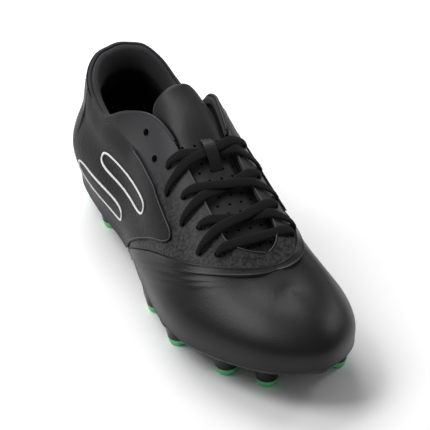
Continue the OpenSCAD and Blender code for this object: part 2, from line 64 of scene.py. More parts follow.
# %% Outline of the last, in millimetres
MM = 0.001
OUTER_SIDE = np.array([[-2, 140], [-21, 133.5], [-37, 110], [-41, 75], [-41, 32],
                       [-48.5, -11], [-53, -57], [-45, -91], [-22, -128], [7, -143]])
INNER_SIDE = np.array([[-2, 140], [17, 133.5], [29, 110], [30, 72], [38, 30],
                       [42, -16], [43, -60], [44.5, -98], [33, -127], [7, -143]])
RIDGE_X = [-2, -2, -2, 0, 1, 0, 3, 5, 5, 5]
RIDGE_Z = [150, 150, 148, 140, 116, 91, 73, 60.5, 55.5, 54.5]
FEATHER_HEIGHT = 18
FEATHER_RISE = [4, 4, 3, 2, 1, 0, 0, 2, 6, 9]
FULL_SIDE = [0.87, 0.87, 0.85, 0.84, 0.83, 0.82, 0.81, 0.78, 0.76, 0.75]
FULL_TOP = [0.75, 0.75, 0.81, 0.93, 0.98, 0.99, 0.94, 0.87, 0.81, 0.8]
BULGE = [5, 5, 5.7, 4.6, 3, 2, 2, 1.5, 1.8, 2]
BULGE_TOP = [56, 56, 54, 50, 44, 36, 32, 30, 28, 26]
CENTRE = (-4.06, 0.9)
RIDGE_MID, RIDGE_REACH = 2, 104
TOE_K = 9

# %% A place on the last
def through(values, other, t):
    """A smooth curve through values at 0, 1, 2...; other continues it past both ends."""
    values, other, t = np.asarray(values, float), np.asarray(other, float), np.asarray(t, float)
    n = len(values)
    i = np.clip(np.floor(t).astype(int), 0, n - 2)
    f = t - i
    p0 = np.where(i == 0, other[1], values[np.maximum(i - 1, 0)])
    p1, p2 = values[i], values[i + 1]
    p3 = np.where(i == n - 2, other[n - 2], values[np.minimum(i + 2, n - 1)])
    return 0.5 * (2 * p1 + (p2 - p0) * f + (2 * p0 - 5 * p1 + 4 * p2 - p3) * f**2
                  + (3 * p1 - p0 - 3 * p2 + p3) * f**3)


def along(values, t):
    return through(values, values, t)


def side_xy(k, outer):
    """x and y of the sole edge at station k."""
    out = [through(OUTER_SIDE[:, a], INNER_SIDE[:, a], k) - CENTRE[a] for a in (0, 1)]
    inn = [through(INNER_SIDE[:, a], OUTER_SIDE[:, a], k) - CENTRE[a] for a in (0, 1)]
    return [np.where(outer, out[a], inn[a]) for a in (0, 1)]


def ridge_xy(k):
    """x and y of the ridge over the instep at station k."""
    s = ((side_xy(k, True)[1] + side_xy(k, False)[1]) / 2 - RIDGE_MID) / RIDGE_REACH
    return along(RIDGE_X, k) - CENTRE[0], RIDGE_MID + RIDGE_REACH * s / (1 + np.abs(s)**3)**(1 / 3)


def feather_z(k):
    return FEATHER_HEIGHT + along(FEATHER_RISE, k)


def skin(k, v, d=0.0):
    """The place (k, v) at depth d under the skin of the last, in millimetres."""
    k, v, d = np.broadcast_arrays(*[np.asarray(a, float) for a in (k, v, d)])
    ridge, edge = ridge_xy(k), side_xy(k, v < 0)
    run = [edge[a] - ridge[a] for a in (0, 1)]
    reach = np.hypot(*run)
    low, top = feather_z(k), along(RIDGE_Z, k) - d
    t = np.pi / 2 * (1 - np.abs(v))
    z = low + (top - low) * np.sin(t)**along(FULL_TOP, k)
    q = np.clip((z - low) / along(BULGE_TOP, k), 0, 1)
    out = (np.maximum(np.cos(t), 0)**along(FULL_SIDE, k) * (reach - d)
           + along(BULGE, k) * np.sin(np.pi * q)**2) / reach
    return np.stack([ridge[0] + run[0] * out, ridge[1] + run[1] * out, z], -1)


def v_at(k, h, d=0.0):
    """Place across that lies h above the sole edge."""
    low, top = feather_z(k), along(RIDGE_Z, k) - d
    return 1 - np.arcsin(np.clip(h / (top - low), 0, 1)**(1 / along(FULL_TOP, k))) * 2 / np.pi


def normal(k, v):
    """Outward direction of the skin."""
    n = np.cross(skin(k + 0.05, v) - skin(k - 0.05, v), skin(k, v + 0.01) - skin(k, v - 0.01))
    return n / np.linalg.norm(n, axis=-1, keepdims=True)


print("instep height at the middle of the lacing, mm:", skin(5, 0)[2].round(1))

# %% [markdown]
# ## Edges of the panels
# A pattern cutter draws each panel flat. Here each edge is a curve v(k) or k(v) on the last. The
# foot opening and the throat are one edge; the band over the toe end of the throat is another. On
# the outer side the rolled opening is drawn up to four millimetres lower than the CAD model's.

# %% Edge curves
OUTER, INNER = -1, 1
SIDES = ((OUTER, "lateral"), (INNER, "medial"))
# Place across of the rim, every half station from the heel
RIM_STEP, RIM_LAST_K = 0.5, 6.4
RIM_OUTER = [0.67, 0.68, 0.68, 0.68, 0.68, 0.685, 0.655, 0.5, 0.32, 0.22, 0.18, 0.17, 0.17, 0.17]
RIM_INNER = [0.67, 0.68, 0.69, 0.72, 0.76, 0.75, 0.69, 0.5, 0.32, 0.22, 0.18, 0.17, 0.17, 0.17]
ROUND_SHARE = 0.14
THROAT_END, THROAT_ROUND, THROAT_V = 6.37, 0.35, 0.17
BAND_PEAK, BAND_WIDTH, BAND_SWEEP = 7.5, 0.27, 2.08
BAND_PULL_OUTER, BAND_PULL_INNER = 1.0, 1.4
MIDFOOT_START = 3.4
# The side panel's top leaves the opening, its low edge leaves the sole, a round corner joins them
PANEL_TIP, PANEL_CORNER, PANEL_POWER = 5.5, 0.14, 1.03
PANEL_LEAVES_RIM, PANEL_SLOPE, PANEL_TOP_V = 3, 1.7, 0.48
PANEL_LEAVES_SOLE = {OUTER: 4.1, INNER: 3.65}
PANEL_LIFT = {OUTER: 0.44, INNER: 0.5}


def ease(f):
    f = np.clip(f, 0, 1)
    return f * f * (3 - 2 * f)


def sweep(v):
    """How far, in stations, a line square to the ridge falls back on each side."""
    pull = np.where(v < 0, BAND_PULL_OUTER, BAND_PULL_INNER)
    return pull * np.sin(np.pi / 2 * np.abs(v))**0.8


def rim(k, side):
    """Edge of the foot opening and of the throat."""
    k = np.asarray(k, float)
    values = RIM_OUTER if side == OUTER else RIM_INNER
    across = along(values, np.minimum(k, RIM_LAST_K) / RIM_STEP)
    v = np.linspace(0, THROAT_V, 401)
    end_k = THROAT_END + THROAT_ROUND * np.sqrt(1 - (v / THROAT_V)**2) - sweep(side * v)
    return np.where(k < end_k[-1], across, np.interp(-k, -end_k, v))


def vamp_k(v):
    """Where the vamp begins: level over the ridge, then swept back to the sole on both sides."""
    return BAND_PEAK - sweep(v) - BAND_SWEEP * np.asarray(v)**2


def band_v(k, side):
    """Place across of the band's heel-side edge at station k."""
    v = np.linspace(0, 1, 801)
    return np.interp(-np.asarray(k, float), -(vamp_k(side * v) - BAND_WIDTH), v)


def panel_edges(k, side):
    """Top and low edge of the side panel at station k."""
    f = np.clip((k - PANEL_LEAVES_RIM) / PANEL_SLOPE, 0, 1)
    top = np.where(k < PANEL_LEAVES_RIM, rim(k, side),
                   rim(PANEL_LEAVES_RIM, side) * (1 - f) + PANEL_TOP_V * f)
    start = PANEL_LEAVES_SOLE[side]
    f = np.maximum(0, (k - start) / (PANEL_TIP - start))
    low = 1 - PANEL_LIFT[side] * f**PANEL_POWER
    corner = np.clip((k - PANEL_TIP + PANEL_CORNER) / PANEL_CORNER, 0, 0.995)
    middle, half = (top + low) / 2, (low - top) / 2 * np.sqrt(1 - corner**2)
    return middle - half, middle + half


def bump(x, width):
    """A smooth hill of height 1 at x = 0."""
    return np.exp(-(np.asarray(x, float) / width)**2)


def round_edge(f, lowest=0.0):
    """1 over a strip from f = -1 to 1, falling as a quarter circle at both sides."""
    past = np.maximum(0, np.abs(f) - (1 - ROUND_SHARE))
    return np.sqrt(np.clip(1 - (past / ROUND_SHARE)**2, lowest, 1))


opening = skin(2, rim(2, INNER))[0] - skin(2, -rim(2, OUTER))[0]
print("foot opening at station 2, mm wide:", opening.round(1))

# %% [markdown]
# ## Meshes from nets
# Every skin is a closed net: an outer and an inner grid of points with walls between them. Making
# it in bmesh gives clean quads that follow the foot, with a UV map measured in metres, so a weave
# keeps its real size. A bevel rounds the cut edge, as the folded or trimmed edge of a panel is.

# %% Net mesh
SHARP_ANGLE = math.radians(50)


def lengths(grid, axis):
    """Distance along one direction of a grid of points, from its start."""
    step = np.linalg.norm(np.diff(grid, axis=axis), axis=-1)
    zero = np.zeros_like(np.take(step, [0], axis))
    return np.concatenate([zero, np.cumsum(step, axis)], axis)


def lay_uv(mesh, uv):
    """Gives every face corner the UV place of its vertex, in metres."""
    corner = np.empty(len(mesh.loops), int)
    mesh.loops.foreach_get("vertex_index", corner)
    mesh.uv_layers.new(name="millimetres").data.foreach_set("uv", uv[corner].ravel())


def net_piece(name, outside, inside, toe=False, bevel=0.35):
    """A closed mesh between two grids in mm; with toe, the last row is left open and welds."""
    rows, cols = outside.shape[:2]
    across = lengths(outside, 1)
    uv = np.stack([across - across[:, [cols // 2]], lengths(outside, 0)], -1).reshape(-1, 2) * MM
    number = np.arange(rows * cols).reshape(rows, cols)
    a, b, c, d = number[:-1, :-1], number[:-1, 1:], number[1:, 1:], number[1:, :-1]
    top = np.stack([a, b, c, d], -1).reshape(-1, 4)
    size = rows * cols
    faces = [top, top[:, ::-1] + size]
    toe_edge = [] if toe else [number[-1][::-1]]
    edges = [number[0], *toe_edge, number[::-1, 0], number[:, -1]]
    for run in edges:
        faces.append(np.stack([run[:-1], run[:-1] + size, run[1:] + size, run[1:]], -1))
    faces = np.concatenate(faces)
    points = np.concatenate([outside.reshape(-1, 3), inside.reshape(-1, 3)]) * MM
    mesh = bpy.data.meshes.new(name)
    mesh.from_pydata(points.tolist(), [], faces.tolist())
    lay_uv(mesh, np.tile(uv, (2, 1)))
    return add_piece(name, mesh, bevel)


# %% Adding and finishing a piece
def add_piece(name, mesh, bevel=0.0, merge=0.01):
    """Puts a mesh in the scene, welded, with outward faces, smooth shading and rounded edges."""
    work = bmesh.new()
    work.from_mesh(mesh)
    bmesh.ops.remove_doubles(work, verts=work.verts, dist=merge * MM)
    bmesh.ops.recalc_face_normals(work, faces=work.faces)
    work.to_mesh(mesh)
    work.free()
    for face in mesh.polygons:
        face.use_smooth = True
    mesh.set_sharp_from_angle(angle=SHARP_ANGLE)
    piece = bpy.data.objects.new(name, mesh)
    bpy.context.scene.collection.objects.link(piece)
    if bevel:
        rounding = piece.modifiers.new("rounded edge", "BEVEL")
        rounding.width, rounding.segments = bevel * MM, 2
        rounding.angle_limit = SHARP_ANGLE
    return piece


def settle(piece, finish, nodes, body=BOOT):
    """Gives a piece its finish and the body it rides on, and hides the CAD nodes it stands for."""
    piece.data.materials.clear()
    piece.data.materials.append(finish)
    if nodes:
        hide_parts(*nodes)
    if body:
        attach(piece, body)
    print(f"{piece.name}: {len(piece.data.polygons)} faces")
    return piece


# %% [markdown]
# ## Finishes
# Each finish is a Principled shader with a few nodes in front of it. Colours are written as the
# sRGB hex values one would pick from a swatch, and one function turns them to linear light. One
# small function adds a node with its settings and links.

# %% Node and colour helpers
def linear(hex_code):
    """'#rrggbb' to linear RGBA."""
    c = np.array([int(hex_code[i:i + 2], 16) for i in (1, 3, 5)]) / 255
    c = np.where(c <= 0.04045, c / 12.92, ((c + 0.055) / 1.055)**2.4)
    return (*c.tolist(), 1.0)


print("swatch #808080 in linear light:", round(linear("#808080")[0], 3))


def add_node(tree, kind, inputs=None, **settings):
    """Adds a shader node; a value in inputs is either a constant or the socket it comes from."""
    made = tree.nodes.new("ShaderNode" + kind)
    for key, value in settings.items():
        setattr(made, key, value)
    for key, value in (inputs or {}).items():
        if isinstance(value, bpy.types.NodeSocket):
            tree.links.new(value, made.inputs[key])
        else:
            made.inputs[key].default_value = value
    return made


def per_metre(size_mm):
    """Texture scale at which one repeat is size_mm long."""
    return 1000 / size_mm


def new_finish(name, roughness, **shader_values):
    """An empty material with its Principled shader; the values are set on the shader itself."""
    finish = bpy.data.materials.new(name)
    finish.use_nodes = True
    tree = finish.node_tree
    shader = tree.nodes["Principled BSDF"]
    shader.inputs["Roughness"].default_value = roughness
    for key, value in shader_values.items():
        shader.inputs[key.replace("_", " ")].default_value = value
    print("finish:", name)
    return finish, tree, shader


def two_tone(tree, shader, factor, dark, light, low=0.35, high=0.65):
    """Links a colour that goes from dark to light as factor rises from low to high."""
    ramp = add_node(tree, "ValToRGB", {"Fac": factor})
    for point, place, colour in zip(ramp.color_ramp.elements, (low, high), (dark, light)):
        point.position, point.color = place, linear(colour)
    tree.links.new(ramp.outputs["Color"], shader.inputs["Base Color"])
    return ramp


def raise_by(tree, shader, height, depth_mm):
    """Links a bump that is depth_mm high where height is 1."""
    made = add_node(tree, "Bump", {"Height": height, "Distance": depth_mm * MM})
    tree.links.new(made.outputs["Normal"], shader.inputs["Normal"])


# %% [markdown]
# ### Coated microfibre
# The vamp, heel tab and band are a polyurethane-coated microfibre: a black film over felt, embossed
# with a fine grain. It looks matt black with a broad soft highlight, and slightly uneven in tone.
# The real grain is about 0.3 mm; it is drawn two to three times as coarse, so that it shows.

# %% Coated microfibre
def coated_microfibre(name, dark, light, roughness, grain_mm=0.9, patch_mm=22, depth=0.05):
    finish, tree, shader = new_finish(name, roughness, Specular_IOR_Level=0.3, Sheen_Weight=0.02)
    place = add_node(tree, "TexCoord").outputs["Object"]
    patches = add_node(tree, "TexNoise", {"Vector": place, "Scale": per_metre(patch_mm),
                                          "Detail": 3})
    two_tone(tree, shader, patches.outputs["Fac"], dark, light)
    grain = add_node(tree, "TexVoronoi", {"Vector": place, "Scale": per_metre(grain_mm)},
                     feature="SMOOTH_F1")
    fine = add_node(tree, "TexNoise", {"Vector": place, "Scale": per_metre(grain_mm * 0.5),
                                       "Detail": 4})
    both = add_node(tree, "Math", {0: grain.outputs["Distance"], 1: fine.outputs["Fac"]},
                    operation="ADD")
    raise_by(tree, shader, both.outputs["Value"], depth)
    return finish


VAMP_FINISH = coated_microfibre("coated_microfibre_black", "#0f0f10", "#141415", 0.42)
TAB_FINISH = coated_microfibre("coated_microfibre_heel", "#19191b", "#1f1f22", 0.5, 0.8)

# %% [markdown]
# ### Printed film over knit
# The midfoot and the side panel are a knit under a thin printed film. High on the foot the print
# is an even grey; lower down it is broken into dark specks of two to three millimetres, which also
# feel rough. A noise makes the specks and the height above ground decides how strong they are.

# %% Printed film over knit
SPECK_MM, KNIT_MM = 2.2, 1.1
HEEL_FADE_FROM, HEEL_FADE_TO = 30, 62


def printed_film(name, even, dark, speckle_from, speckle_to, heel=None):
    """even turns to the colour heel, where one is given, from the third eyelet to the collar."""
    finish, tree, shader = new_finish(name, 0.5, Specular_IOR_Level=0.2, Sheen_Weight=0.0)
    place = add_node(tree, "TexCoord").outputs["Object"]
    parts = add_node(tree, "SeparateXYZ", {"Vector": place})
    towards_heel = add_node(tree, "MapRange", {
        "Value": parts.outputs["Y"], "From Min": HEEL_FADE_FROM * MM,
        "From Max": HEEL_FADE_TO * MM}, interpolation_type="SMOOTHSTEP")
    plain_film = add_node(tree, "Mix", {"Factor": towards_heel.outputs["Result"], 6: linear(even),
                                        7: linear(heel or even)}, data_type="RGBA")
    strength = add_node(tree, "MapRange", {
        "Value": parts.outputs["Z"], "From Min": speckle_from * MM,
        "From Max": speckle_to * MM}, interpolation_type="SMOOTHSTEP")
    specks = add_node(tree, "TexNoise", {"Vector": place, "Scale": per_metre(SPECK_MM), "Detail": 5,
                                         "Roughness": 0.65})
    sharp = add_node(tree, "MapRange", {"Value": specks.outputs["Fac"], "From Min": 0.42,
                                        "From Max": 0.6})
    amount = add_node(tree, "Math", {0: sharp.outputs["Result"], 1: strength.outputs["Result"]},
                      operation="MULTIPLY")
    colour = add_node(tree, "Mix", {"Factor": amount.outputs["Value"], 6: plain_film.outputs[2],
                                    7: linear(dark)}, data_type="RGBA")
    tree.links.new(colour.outputs[2], shader.inputs["Base Color"])
    knit = add_node(tree, "TexVoronoi", {"Vector": place, "Scale": per_metre(KNIT_MM)})
    rough = add_node(tree, "Math", {0: amount.outputs["Value"], 1: knit.outputs["Distance"]},
                     operation="ADD")
    raise_by(tree, shader, rough.outputs["Value"], 0.06)
    return finish


MIDFOOT_FINISH = printed_film("printed_film_grey", "#353537", "#161617", 90, 66, heel="#131315")
QUARTER_FINISH = printed_film("printed_film_dark", "#101012", "#0b0b0d", 60, 35)
PANEL_FINISH = printed_film("printed_film_panel", "#131316", "#070708", 80, 56, heel="#09090b")

# %% [markdown]
# ### Knitted lining
# The collar and the inside are a brushed warp knit with rows about a millimetre apart. It is
# charcoal on the collar's roll and near black inside: a dark knit with painted shade of the boot's
# inside in its colour. Its raised fibres scatter light, so it gets sheen and no clear highlight.

# %% Knitted lining
# A wave texture of scale 1 has 3.2 waves a unit. Dividing by about twice that draws a weave at
# twice its real pitch, so that it shows.
WAVE_COARSE = 6.28


def knitted_lining(name, dark, light, pitch_mm=1.2, inner=None, depth=0.1):
    """Where inner is given, the colour turns to it just inside the roll of the collar, as painted
    shade of the boot's inside.
    """
    finish, tree, shader = new_finish(name, 0.85, Specular_IOR_Level=0.15, Sheen_Weight=0.04)
    place = add_node(tree, "TexCoord").outputs["UV"]
    turned = add_node(tree, "Mapping", {"Vector": place, "Rotation": (0, 0, math.radians(45))})
    scale = per_metre(pitch_mm) / WAVE_COARSE
    rows = add_node(tree, "TexWave", {"Vector": turned.outputs["Vector"], "Scale": scale,
                                      "Distortion": 0.6, "Detail": 1})
    cross = add_node(tree, "TexWave", {"Vector": turned.outputs["Vector"], "Scale": scale},
                     bands_direction="Y")
    mesh = add_node(tree, "Math", {0: rows.outputs["Fac"], 1: cross.outputs["Fac"]},
                    operation="MULTIPLY")
    ramp = two_tone(tree, shader, mesh.outputs["Value"], dark, light, 0.1, 0.8)
    # Painted shade: just inside the roll the charcoal knit is drawn near black, as the boot's
    # inside is in shade.
    if inner:
        across = add_node(tree, "SeparateXYZ", {"Vector": place}).outputs["X"]
        inside = add_node(tree, "MapRange", {"Value": across, "From Min": -3 * MM,
                                             "From Max": 4 * MM}, interpolation_type="SMOOTHSTEP")
        colour = add_node(tree, "Mix", {"Factor": inside.outputs["Result"],
                                        6: ramp.outputs["Color"], 7: linear(inner)},
                          data_type="RGBA")
        tree.links.new(colour.outputs[2], shader.inputs["Base Color"])
    raise_by(tree, shader, mesh.outputs["Value"], depth)
    return finish


# Painted shade: the linings and the sockliner are a dark knit drawn near black for the shade inside
# the boot.
LINING_FINISH = knitted_lining("knitted_lining_dark_painted_shade", "#050505", "#0a0a0b")
# The near-black inner colour is painted shade inside the collar's roll; the knit itself is
# charcoal.
COLLAR_FINISH = knitted_lining("knitted_collar_charcoal", "#323234", "#3b3b3d", 0.8, "#040404",
                               0.05)
SOCKLINER_FINISH = knitted_lining("knitted_sockliner_top", "#070708", "#0d0d0e", 1.6)

# %% [markdown]
# ### Perforated tongue
# The tongue's face is a soft microfibre. Toe-wards of the top crossing it is punched with rows of
# small holes, staggered and seven millimetres apart. Cutting hundreds of holes would only make the
# mesh heavy, so the pattern is drawn from the UV map, sunken, and near black without gloss: painted
# shade for the inside of each hole. A chain of sums does it: each line of the table makes one
# result from earlier ones, such as the way to the nearest hole.

# %% Perforated tongue
HOLE_PITCH, HOLE_R, ROW_PITCH = 7.2, 0.85, 0.87
HOLES_FROM, HOLES_TO = 44, 150
# [result, operation, inputs]; X and Y are the UV map, in metres
HOLE_STEPS = [["across", "MULTIPLY", "X", per_metre(HOLE_PITCH)],
              ["down", "MULTIPLY", "Y", per_metre(HOLE_PITCH * ROW_PITCH)],
              ["row", "FLOOR", "down"],
              ["odd row", "FLOORED_MODULO", "row", 2.0],
              ["stagger", "MULTIPLY", "odd row", 0.5],
              ["staggered", "ADD", "across", "stagger"],
              ["in cell x", "FRACT", "staggered"],
              ["x", "SUBTRACT", "in cell x", 0.5],
              ["in cell y", "FRACT", "down"],
              ["middle y", "SUBTRACT", "in cell y", 0.5],
              ["y", "MULTIPLY", "middle y", ROW_PITCH],
              ["x squared", "MULTIPLY", "x", "x"],
              ["y squared", "MULTIPLY", "y", "y"],
              ["far squared", "ADD", "x squared", "y squared"],
              ["far", "SQRT", "far squared"],
              ["inside", "LESS_THAN", "far", HOLE_R / HOLE_PITCH],
              ["started", "GREATER_THAN", "Y", HOLES_FROM * MM],
              ["ended", "LESS_THAN", "Y", HOLES_TO * MM],
              ["begun", "MULTIPLY", "inside", "started"],
              ["hole", "MULTIPLY", "begun", "ended"],
              ["film", "SUBTRACT", 1.0, "hole"],
              ["gloss", "MULTIPLY", "film", 0.3]]


def perforated(name, dark, light, roughness):
    """Coated microfibre with staggered holes."""
    finish = coated_microfibre(name, dark, light, roughness, 0.7, 18, 0.04)
    tree = finish.node_tree
    shader = tree.nodes["Principled BSDF"]
    place = add_node(tree, "SeparateXYZ", {"Vector": add_node(tree, "TexCoord").outputs["UV"]})
    made = {"X": place.outputs["X"], "Y": place.outputs["Y"]}
    for result, operation, *inputs in HOLE_STEPS:
        values = {i: made.get(value, value) for i, value in enumerate(inputs)}
        made[result] = add_node(tree, "Math", values, operation=operation).outputs["Value"]
    base = shader.inputs["Base Color"].links[0].from_socket
    # Painted shade: each hole is drawn near black, with no gloss, for the dark inside of a punched
    # hole.
    colour = add_node(tree, "Mix", {"Factor": made["hole"], 6: base, 7: linear("#020202")},
                      data_type="RGBA")
    tree.links.new(colour.outputs[2], shader.inputs["Base Color"])
    tree.links.new(made["gloss"], shader.inputs["Specular IOR Level"])
    grain = shader.inputs["Normal"].links[0].from_socket
    sunk = add_node(tree, "Bump", {"Height": made["hole"], "Distance": 0.5 * MM, "Normal": grain},
                    invert=True)
    tree.links.new(sunk.outputs["Normal"], shader.inputs["Normal"])
    return finish


TONGUE_FINISH = perforated("perforated_microfibre", "#101011", "#151516", 0.5)

# %% [markdown]
# ### Woven lace, moulded plate, tips, film and thread
# The lace is a flat tubular weave of textured polyester: rows of small slanted stitches and no
# gloss. The plate is moulded nylon, black and half glossy. The tips are a softer urethane that
# lets a little light in. The side motif is a silver heat-transfer film.

# %% Woven lace
def woven_lace():
    finish, tree, shader = new_finish("woven_polyester_lace", 0.8, Specular_IOR_Level=0.15,
                                      Sheen_Weight=0.03)
    place = add_node(tree, "TexCoord").outputs["UV"]
    parts = add_node(tree, "SeparateXYZ", {"Vector": place})
    mirrored = add_node(tree, "Math", {0: parts.outputs["X"]}, operation="ABSOLUTE")
    folded = add_node(tree, "CombineXYZ", {"X": mirrored.outputs["Value"], "Y": parts.outputs["Y"]})
    slanted = add_node(tree, "Mapping", {"Vector": folded.outputs["Vector"],
                                         "Rotation": (0, 0, math.radians(35))})
    stitch = add_node(tree, "TexWave", {"Vector": slanted.outputs["Vector"],
                                        "Scale": per_metre(0.9) / WAVE_COARSE, "Distortion": 0.4},
                      bands_direction="Y")
    two_tone(tree, shader, stitch.outputs["Fac"], "#060606", "#0d0d0e", 0.2, 0.9)
    raise_by(tree, shader, stitch.outputs["Fac"], 0.1)
    return finish


LACE_FINISH = woven_lace()


# %% Moulded and coated finishes
def moulded(name, dark, light, roughness, texture_mm=0.6, depth=0.02, **shader_values):
    """Moulded plastic: nearly even colour, with the fine spark texture of the mould."""
    finish, tree, shader = new_finish(name, roughness, **shader_values)
    place = add_node(tree, "TexCoord").outputs["Object"]
    tone = add_node(tree, "TexNoise", {"Vector": place, "Scale": per_metre(30), "Detail": 2})
    two_tone(tree, shader, tone.outputs["Fac"], dark, light)
    spark = add_node(tree, "TexNoise", {"Vector": place, "Scale": per_metre(texture_mm),
                                        "Detail": 3})
    raise_by(tree, shader, spark.outputs["Fac"], depth)
    return finish


PLATE_FINISH = moulded("moulded_nylon_black", "#0c0c0d", "#121213", 0.36, Specular_IOR_Level=0.35)
TIP_FINISH = moulded("moulded_urethane_green", "#54bd7c", "#63cb8a", 0.36, IOR=1.5,
                     Subsurface_Weight=0.08, Subsurface_Scale=0.002)
MOTIF_FINISH = moulded("silver_transfer_film", "#c9c9cb", "#dededf", 0.32, 0.4, 0.01, Metallic=0.35)
AGLET_FINISH = moulded("acetate_aglet_black", "#0b0b0b", "#161616", 0.2, 1.5, 0.02, IOR=1.48)
THREAD_FINISH = moulded("bonded_polyester_thread", "#1c1c1e", "#2a2a2c", 0.6, 0.3, 0.03)
BOARD_FINISH = moulded("pressed_fibre_board", "#b9b2a2", "#cbc4b4", 0.9, 0.8, 0.05)
STIFFENER_FINISH = moulded("thermoplastic_stiffener", "#4c4c4c", "#5c5c5c", 0.7, 1.0, 0.05)
# Paler than the skins around it: a painted highlight along the throat's folded edge and the side
# panel's edge.
EDGE_HIGHLIGHT_FINISH = coated_microfibre("edge_bead_painted_highlight", "#38383a", "#444446", 0.42, 0.6, 12, 0.03)

# %% [markdown]
# ## Camera
# The camera stands where it sees the outer side, the lacing and the toe at once: low enough to see
# into the collar, with a long lens from 1.5 metres so that toe and heel keep their proportions.

# %% Camera
VIEW_AZIMUTH, VIEW_HEIGHT, VIEW_DISTANCE, LENS = -24.39, 32.86, 1.5, 209.3
AIM_RIGHT, AIM_UP, SENSOR = 0.00375, -0.00185, 36
BOOT_MIDDLE = Vector((0.0041, -0.0009, 0.05))
az, el = math.radians(VIEW_AZIMUTH), math.radians(VIEW_HEIGHT)
right = Vector((math.cos(az), math.sin(az), 0))
back = Vector((math.sin(az) * math.cos(el), -math.cos(az) * math.cos(el), math.sin(el)))
up = back.cross(right)
aim = BOOT_MIDDLE + right * AIM_RIGHT + up * AIM_UP
camera = bpy.data.objects.new("camera", bpy.data.cameras.new("camera"))
bpy.context.scene.collection.objects.link(camera)
camera.data.lens, camera.data.sensor_width = LENS, SENSOR
camera.data.clip_start, camera.data.clip_end = 0.1, 20
camera.location = aim + back * VIEW_DISTANCE
camera.rotation_euler = (-back).to_track_quat("-Z", "Y").to_euler()
bpy.context.scene.camera = camera
print("camera at", [round(x, 3) for x in camera.location])

# %% [markdown]
# ## Lace
# One flat lace, 6.4 mm wide, threads the boot. It starts at an aglet, lies folded inside the
# forefoot, comes up through the third eyelet from the top, crosses down to the toe end and back,
# and ends in the other fold. A curve with a bevel would twist at the tight eyelets, so each ring of
# the ribbon is turned one by one: its width always lies along the foot.

# %% Route of the lace, in millimetres
# Thickness of the skin and overlays, gap under an overlay, and the depths of the lining's two faces
SHELL_T, OVERLAY_T, OVERLAY_GAP = 1.8, 0.9, 0.4
LINING_T, LINING_D, LINING_IN = 0.8, 3.8, 4.6
EYELET_R, LACE_W, LACE_T = 2.5, 6.4, 1.4
# Eyelets from the top down: [station, place across] on the outer side
EYELETS = [[4.02, 0.42], [4.42, 0.42], [4.7, 0.32], [4.97, 0.4], [5.2, 0.29],
           [5.48, 0.38], [5.7, 0.28], [6.02, 0.37], [6.27, 0.26]]
INNER_SHIFT = (-0.1, 0.03)
# [eyelet, side, 1 where the lace comes up through it or -1 where it goes down]
STOPS = [[2, OUTER, 1], [3, INNER, -1], [4, INNER, 1], [5, OUTER, -1], [6, OUTER, 1],
         [7, INNER, -1], [8, INNER, 1], [8, OUTER, -1], [7, OUTER, 1], [6, INNER, -1],
         [5, INNER, 1], [4, OUTER, -1], [3, OUTER, 1], [2, INNER, -1]]
# Crossings over the tongue; those on the way back lie on top of the first ones
OVER_D, RIM_REST, RIM_LIFT, BRIDGE = -LACE_T / 2 - 0.3, 0.2, 0.7, 0.11
UNDER_CROSSING_D, TOP_CROSSING_D = 2.6, 0.8
UNDER_DEPTH, OVER_HEIGHT, HOLE_WIDTH = LINING_IN + 0.4 + LACE_T / 2, LACE_T / 2 + 0.9, 3
# Inside the boot: [station, place across, depth, width], then the hank as [x, y, z, width]
WALL_RUN = [[4.42, 0.76, 9, 4], [4.5, 0.64, 7, 4], [4.6, 0.52, 6.5, 4], [4.67, 0.41, 6, 4]]
HANK_Z = 25.6
HANK_BEND = [[19, 25.2, 29.2, 5], [19.5, 31, 29.7, 5], [23, 35, 33.2, 5], [29, 33, 38.2, 4]]
HANK_OUT, HANK_BACK, HANK_TOE, HANK_MID_Z = 19.5, 12.5, -72, HANK_Z + 3.3
AGLET_START, AGLET_LENGTH, AGLET_R = 25.2, 20, 1.6


def eyelet(i, side):
    """Station and place across of eyelet i."""
    k, v = EYELETS[i]
    return (k, side * v) if side == OUTER else (k + INNER_SHIFT[0], side * (v + INNER_SHIFT[1]))


def passing(stop):
    """The two points of one pass through an eyelet."""
    k, v = eyelet(stop[0], stop[1])
    n, top = normal(k, v), skin(k, v)
    pair = [[*(top - n * UNDER_DEPTH), HOLE_WIDTH], [*(top + n * OVER_HEIGHT), HOLE_WIDTH + 0.6]]
    return pair if stop[2] > 0 else pair[::-1]


def crossing(start, end, deep):
    """Five points over the tongue between two eyelets."""
    (k0, v0), (k1, v1) = eyelet(start[0], start[1]), eyelet(end[0], end[1])
    go = start[1]
    half_way = OVER_D * 0.6 + deep * 0.4
    stations = [(RIM_REST * go, OVER_D - RIM_LIFT), (BRIDGE * go, half_way), (0, deep),
                (-BRIDGE * go, half_way), (-RIM_REST * go, OVER_D - RIM_LIFT)]
    return [[*skin(k0 + (k1 - k0) * (v0 - v) / (v0 - v1), v, d), LACE_W] for v, d in stations]


def folded_end(side):
    """From the aglet along the fold to the toe and back, then up the wall to the third eyelet."""
    out_run = [[HANK_BACK, y] for y in (45, 25, 5, -20, -45, -66)]
    turn = [[HANK_BACK + 1, HANK_TOE + 0.8], [16, HANK_TOE - 1], [HANK_OUT - 1, HANK_TOE + 0.8]]
    back_run = [[HANK_OUT, y] for y in (-66, -45, -20, 5)]
    fold = [[x, y, HANK_MID_Z, LACE_W] for x, y in out_run + turn + back_run]
    lower = [[side * x, y, z, w] for x, y, z, w in fold + HANK_BEND]
    return lower + [[*skin(k, side * v, d), w] for k, v, d, w in WALL_RUN]


